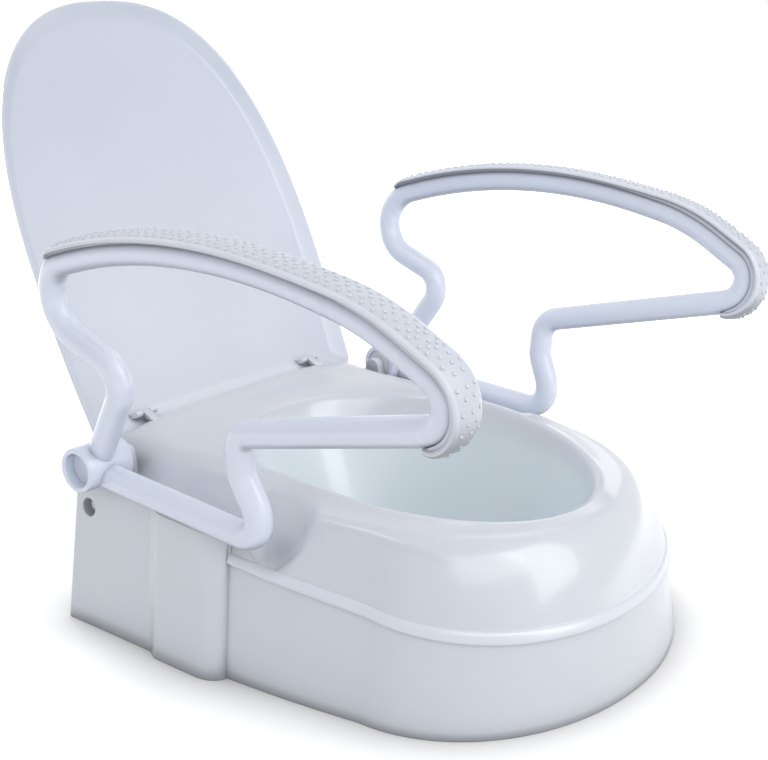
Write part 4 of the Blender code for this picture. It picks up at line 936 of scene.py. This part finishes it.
def pad_section(travel):
    """Closed outline of the pad, as (across, out)."""
    half_width, _, edge = pad_form(travel)
    top = [(half_width * share, pad_top(travel, share) - fall)
           for share, fall in PAD_TOP]
    cradle_r = TUBE_R + CRADLE_GAP
    cradle = min(CRADLE_HALF, half_width * CRADLE_SHARE)
    rib = cradle + CRADLE_RIB
    under = edge - PAD_EDGE_THICK
    low = math.sqrt(cradle_r ** 2 - cradle ** 2)
    right = [(half_width, edge - 0.0018), (half_width - 0.0003, under + 0.0012),
             (half_width - 0.0011, under + 0.0004), (half_width - 0.0024, under),
             (rib, min(under, low + 0.003)), (rib, low - 0.0002), (cradle, low)]
    middle = [(cradle * share, math.sqrt(cradle_r ** 2 - (cradle * share) ** 2))
              for share in (0.5, 0.0, -0.5)]
    left = [(-across, out) for across, out in reversed(right)]
    return top + right + middle + left


GRIP_HALF = 0.0128
NUB_R = 0.0018
NUB_HEIGHT = 0.95
NUB_PITCH = 0.0102
NUB_ROWS = (-0.60, -0.30, 0.0, 0.30, 0.60)
NUB_SUNK = 0.0003
NUB_START = 0.016
NUB_END = 0.006

for name, side in SIDES:
    frames = run_frames(side, run)
    pad_mesh = swept(frames, lambda i: pad_section(lengths[i]))
    ends = [edge for edge in pad_mesh.edges if edge.is_boundary]
    bmesh.ops.holes_fill(pad_mesh, edges=ends, sides=0)
    finder = KDTree(len(frames))
    for i, (place, sideways, out) in enumerate(frames):
        finder.insert(place, i)
    finder.balance()
    # Faces on the pad's top within the grip's half width take the grip finish, with its painted
    # shade.
    for face in pad_mesh.faces:
        middle = face.calc_center_median()
        place, sideways, out = frames[finder.find(middle)[1]]
        if face.normal.dot(out) > 0.3 and abs((middle - place).dot(sideways)) < GRIP_HALF:
            face.material_index = 1
    for row, across in enumerate(NUB_ROWS):
        travel = NUB_START + NUB_PITCH * 0.5 * (row % 2)
        while travel < pad_length - NUB_END:
            i = min(range(len(lengths)), key=lambda one: abs(lengths[one] - travel))
            place, sideways, out = frames[i]
            half_width = pad_form(lengths[i])[0]
            spot = place + sideways * half_width * across + out * (
                pad_top(lengths[i], across) - NUB_SUNK)
            turn = out.to_track_quat("Z", "Y").to_matrix().to_4x4()
            stand = Matrix.Translation(spot) @ turn @ Matrix.Diagonal((1.0, 1.0, NUB_HEIGHT, 1.0))
            bmesh.ops.create_uvsphere(pad_mesh, u_segments=8, v_segments=4, radius=NUB_R,
                                      matrix=stand)
            travel += NUB_PITCH
    pad_mesh.normal_update()
    pad = piece(name + "_pad", pad_mesh, pad_white, name + "_arm", 42.0)
    pad.data.materials.append(pad_grip)
    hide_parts(name + "_arm_pad")


# Lid
# A thin moulded lid: a sloping border round a gently dished panel, with a fine rolled
# edge. It hangs on two small hinges at the rear edge of the deck.

LEAN = math.radians(24.0)
LID_UP = Vector((0.0, math.sin(LEAN), math.cos(LEAN)))
LID_FRONT = Vector((0.0, -math.cos(LEAN), math.sin(LEAN)))
LID_LENGTH = 0.4475
LID_HALF_WIDTH = 0.2045
LID_BASE_HALF_WIDTH = 0.1975
LID_WIDEST = 0.138
LID_BASE = -0.0115
LID_CORNER_DROP = 0.010      # the base reaches lower beside the deck
LID_DROP_START = 0.125
LID_DROP_END = 0.175
LID_CORNER_R = 0.012
LID_POWER = 2.5
LID_BEHIND = 0.0018
LID_FLARE = 0.0122
LID_BORDER_DEPTH = 0.0118
LID_DISH = 0.0135
LID_DISH_WIDTH = 0.105
LID_FRONT_INSET = 0.0171
LID_FRONT_DEPTH = 0.0102


def lid_outline(inset):
    """Half of the lid's outline, as (x, height), base to top."""
    base = LID_BASE + inset
    corner = LID_BASE_HALF_WIDTH - inset
    round_r = min(LID_CORNER_R, corner * 0.3)
    half = [((corner - round_r) * i / 24.0, base) for i in range(24)]
    for degrees in range(0, 91, 15):
        angle = math.radians(degrees)
        half.append((corner - round_r * (1.0 - math.sin(angle)),
                     base + round_r * (1.0 - math.cos(angle))))
    half = [(x, height - LID_CORNER_DROP * smooth(x, LID_DROP_START, LID_DROP_END))
            for x, height in half]
    start = half[-1][1]
    for i in range(1, 12):
        share = i / 12.0
        fall = (1.0 - share) ** 2
        width = LID_HALF_WIDTH - (LID_HALF_WIDTH - LID_BASE_HALF_WIDTH) * fall
        half.append((width - inset, mix(start, LID_WIDEST, share)))
    steps = 56
    reach = LID_LENGTH - LID_WIDEST - inset
    for i in range(steps + 1):
        angle = math.radians(90.0) * i / steps
        x = (LID_HALF_WIDTH - inset) * max(0.0, math.cos(angle)) ** (2.0 / LID_POWER)
        height = LID_WIDEST + reach * math.sin(angle) ** (2.0 / LID_POWER)
        half.append((0.0 if i == steps else x, height))
    return half


def lid_place(x, height, ahead):
    """A point of the lid by its place across, above and ahead of the hinge's axis."""
    return Vector((x, HINGE_Y + SHIFT, HINGE_Z)) + LID_UP * height + LID_FRONT * ahead


def lid_ring(inset, depth):
    """A ring of the lid, inset from its outline and set back from its rim."""
    return [lid_place(x, height, -LID_BEHIND - depth)
            for x, height in both_halves(lid_outline(inset))]


def lid_sections():
    """The lid's back from its middle out to the rim, and its front back to the middle."""
    dish = [(LID_FLARE + 0.001 + LID_DISH_WIDTH * share,
             LID_BORDER_DEPTH + LID_DISH * math.sin(math.radians(90.0) * share))
            for share in (1.0, 0.86, 0.72, 0.6, 0.5, 0.41, 0.32, 0.24, 0.16, 0.10, 0.05, 0.015)]
    border = [(LID_FLARE * out, LID_BORDER_DEPTH * back)
              for out, back in ((1.0, 0.975), (0.85, 0.84), (0.6, 0.58), (0.3, 0.27), (0.1, 0.06))]
    lip = [(0.0, -0.0002), (0.0003, -0.0010), (0.0011, -0.0015), (0.0021, -0.0013),
           (0.0030, -0.0006)]
    front = [(0.0055, 0.0015), (0.0125, 0.0075), (0.0156, 0.0096), (0.0168, 0.0101)]
    for share in (0.02, 0.06, 0.12, 0.18, 0.26, 0.34, 0.43, 0.52, 0.62, 0.74, 0.87, 1.0):
        front.append((LID_FRONT_INSET + LID_DISH_WIDTH * share,
                      LID_FRONT_DEPTH + LID_DISH * math.sin(math.radians(90.0) * share)))
    return dish + border + lip + front


lid_white = moulded("lid_gloss", (0.590, 0.633, 0.724), 0.30, grain=420.0, bump=0.012, coat=0.2)
place = node(lid_white, "TexCoord", {}).outputs["Object"]
parts = node(lid_white, "SeparateXYZ", {"Vector": place})
# Painted light and shade on the lid: lighter towards its lower part, standing in for light thrown
# up from the deck, and darker where other surfaces stand close.
tinted(lid_white, ramp(lid_white, parts.outputs["Z"], 0.52, 0.22), (1.19, 1.165, 1.13))
paint_contact_shade(lid_white, 0.010, 0.60)
lid_mesh = shell_from_rings([lid_ring(*section) for section in lid_sections()])
bmesh.ops.holes_fill(lid_mesh, edges=[edge for edge in lid_mesh.edges if edge.is_boundary],
                     sides=0)
lid = piece("lid_panel", lid_mesh, lid_white, "lid", 30.0)
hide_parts("lid")

KNUCKLE_GAP = 0.0003
KNUCKLE_WIDTH = 0.008
KNUCKLE_LAP = 0.0002
KNUCKLE_SUNK = 0.0015
knuckle_edge = LUG_WIDTH / 2 + KNUCKLE_GAP
knuckle_mesh = bmesh.new()
for side in (-1.0, 1.0):
    for inner in (side * LUG_X - knuckle_edge - KNUCKLE_WIDTH - KNUCKLE_LAP,
                  side * LUG_X + knuckle_edge):
        outline = [(height, ahead) for ahead, height in arc(EAR_R, -90, 91)]
        for height in (EAR_R, -EAR_R * 0.9):
            skin_depth = LID_BEHIND + (height - LID_BASE) * LID_BORDER_DEPTH / LID_FLARE
            outline.append((height, KNUCKLE_SUNK - min(skin_depth,
                                                       LID_BEHIND + LID_BORDER_DEPTH)))
        prism(knuckle_mesh, [lid_place(inner, *point) for point in outline],
              (KNUCKLE_WIDTH + KNUCKLE_LAP, 0.0, 0.0), 0.0005)
knuckles = piece("lid_knuckles", knuckle_mesh, lid_white, "lid", 30.0)
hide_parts("lid")


# Small parts that keep their CAD form
# Bushes, washers, bolts and wing nuts of nylon, zinc plated pins and screws, rubber rests
# and cones.

nylon = moulded("nylon_natural", (0.62, 0.655, 0.69), 0.42, grain=500.0, bump=0.05)
rubber = moulded("rubber_grey", (0.05, 0.05, 0.055), 0.75, grain=900.0, bump=0.15, mottle=0.15)
steel = moulded("zinc_plate", (0.56, 0.57, 0.59), 0.32, grain=300.0, bump=0.06, mottle=0.06)
steel.node_tree.nodes["Principled BSDF"].inputs["Metallic"].default_value = 1.0
finishes = {"nylon": nylon, "rubber": rubber, "steel": steel}
slots = {part["node"]: part["material_slot"] for part in frame["record"]["subparts"]}
for name, item in frame["nodes"].items():
    if slots.get(name) in finishes:
        item.data.materials.clear()
        item.data.materials.append(finishes[slots[name]])


# Floor, light and camera
# A plain pale sheet with a soft contact shadow, partly cast by the lamps and partly painted by
# ambient occlusion, white where the camera sees it far off, under six soft lamps. Five cards show
# only in the gloss.

floor_mesh = bmesh.new()
bmesh.ops.create_grid(floor_mesh, x_segments=1, y_segments=1, size=6.0)
mesh = bpy.data.meshes.new("floor")
floor_mesh.to_mesh(mesh)
floor_mesh.free()
floor = bpy.data.objects.new("floor", mesh)
scene.collection.objects.link(floor)


def shown_rays(owner):
    """1 for the camera's rays, straight or by way of gloss or a clear piece, 0 for others."""
    rays = node(owner, "LightPath", {})
    shown = rays.outputs["Is Camera Ray"]
    for kind in ("Is Glossy Ray", "Is Transmission Ray"):
        shown = node(owner, "Math", {0: shown, 1: rays.outputs[kind]},
                     operation="MAXIMUM").outputs["Value"]
    return shown


PAPER = 0.92
PAPER_PAINTED_SHADOW = (0.30, 0.28, 0.30)
PAINTED_SHADOW_REACH = 0.06
GLOW_NEAR = 0.27
GLOW_FAR = 1.2
GLOW_START = 0.5
GLOW_END = 1.5
paper = bpy.data.materials.new("paper")
paper.use_nodes = True
# Painted contact shadow: the floor's colour and its glow for the camera darken where ambient
# occlusion finds the object close by.
painted_shadow = node(paper, "AmbientOcclusion", {"Distance": PAINTED_SHADOW_REACH}, samples=8).outputs["AO"]
grey = node(paper, "Mix", {"Factor": painted_shadow, "A": (*[PAPER * share for share in PAPER_PAINTED_SHADOW], 1.0),
                           "B": (PAPER, PAPER, PAPER, 1.0)}, data_type="RGBA")
matte = wire(paper, paper.node_tree.nodes["Principled BSDF"], {
    "Base Color": grey.outputs["Result"], "Roughness": 1.0, "Specular IOR Level": 0.0})
place = node(paper, "TexCoord", {}).outputs["Object"]
away = node(paper, "VectorMath", {0: place}, operation="LENGTH").outputs["Value"]
level = shown_rays(paper)
for share in (ramp(paper, away, GLOW_START, GLOW_END, GLOW_NEAR, GLOW_FAR), painted_shadow):
    level = node(paper, "Math", {0: level, 1: share}, operation="MULTIPLY").outputs["Value"]
glow = node(paper, "Emission", {"Strength": level})
both = node(paper, "AddShader", {0: matte.outputs["BSDF"], 1: glow.outputs["Emission"]})
wire(paper, paper.node_tree.nodes["Material Output"], {"Surface": both.outputs["Shader"]})
mesh.materials.append(paper)

world = bpy.data.worlds.new("studio")
scene.world = world
world.use_nodes = True
air = wire(world, world.node_tree.nodes["Background"], {
    "Color": (0.99, 0.995, 1.0, 1.0), "Strength": 0.49})
white = node(world, "Background", {"Color": (1.0, 1.0, 1.0, 1.0)})
pick = node(world, "MixShader", {"Fac": shown_rays(world), 1: air.outputs["Background"],
                                 2: white.outputs["Background"]})
wire(world, world.node_tree.nodes["World Output"], {"Surface": pick.outputs["Shader"]})

LIT = Vector((0.0, -0.13, 0.2))
LAMP_DISTANCE = 2.4
CARD_DISTANCE = 1.7


def softbox(name, way, distance, width, height, power, colour=(1.0, 1.0, 1.0)):
    """A rectangular lamp that looks at the object from a direction."""
    data = bpy.data.lights.new(name, "AREA")
    data.shape = "RECTANGLE"
    data.size = width
    data.size_y = height
    data.energy = power
    data.color = colour
    lamp = bpy.data.objects.new(name, data)
    lamp.location = LIT + Vector(way).normalized() * distance
    lamp.rotation_euler = (LIT - lamp.location).to_track_quat("-Z", "Y").to_euler()
    scene.collection.objects.link(lamp)
    return lamp


for name, way, size, power, colour in (
        ("front_light", (-0.1, -1.0, 0.45), 1.3, 10.2, (0.97, 1.0, 1.0)),
        ("key_light", (0.62, -0.785, 0.35), 1.3, 9.0, (1.0, 0.96, 0.93)),
        ("left_light", (-0.95, -0.1, 0.35), 1.3, 3.6, (0.96, 0.96, 1.0)),
        ("high_light", (-0.6, -0.45, 0.9), 1.3, 8.0, (1.0, 1.0, 1.0)),
        ("top_light", (0.1, -0.1, 1.0), 1.8, 12.0, (1.0, 0.98, 1.0)),
        ("rear_light", (0.2, 0.95, 0.6), 1.3, 17.0, (0.94, 0.97, 1.0))):
    softbox(name, way, LAMP_DISTANCE, size, size, power, colour).visible_glossy = False
for name, way, width, height, level in (
        ("window_wide", (-0.31, -0.66, 0.68), 1.15, 1.0, 1.5),
        ("window_tall", (0.14, -0.84, 0.53), 0.75, 1.5, 2.6),
        ("skylight_left", (-0.33, 0.26, 0.91), 0.45, 0.4, 2.4),
        ("skylight_right", (0.59, 0.14, 0.80), 0.6, 0.45, 0.9),
        ("skylight_far", (0.86, 0.32, 0.39), 0.5, 0.4, 0.9)):
    card = softbox(name, way, CARD_DISTANCE, width, height, level * math.pi * width * height)
    card.visible_diffuse = False
    card.visible_camera = False

view = bpy.data.cameras.new("camera")
view.lens = 60.95
view.sensor_width = 36.0
view.sensor_fit = "HORIZONTAL"
view.clip_start = 0.01
camera = bpy.data.objects.new("camera", view)
camera.location = (-0.9837, -0.7500 + SHIFT, 0.6206)
camera.rotation_euler = (math.radians(72.97), 0.0, math.radians(-51.75))
scene.collection.objects.link(camera)
scene.camera = camera
scene.view_settings.view_transform = "Standard"
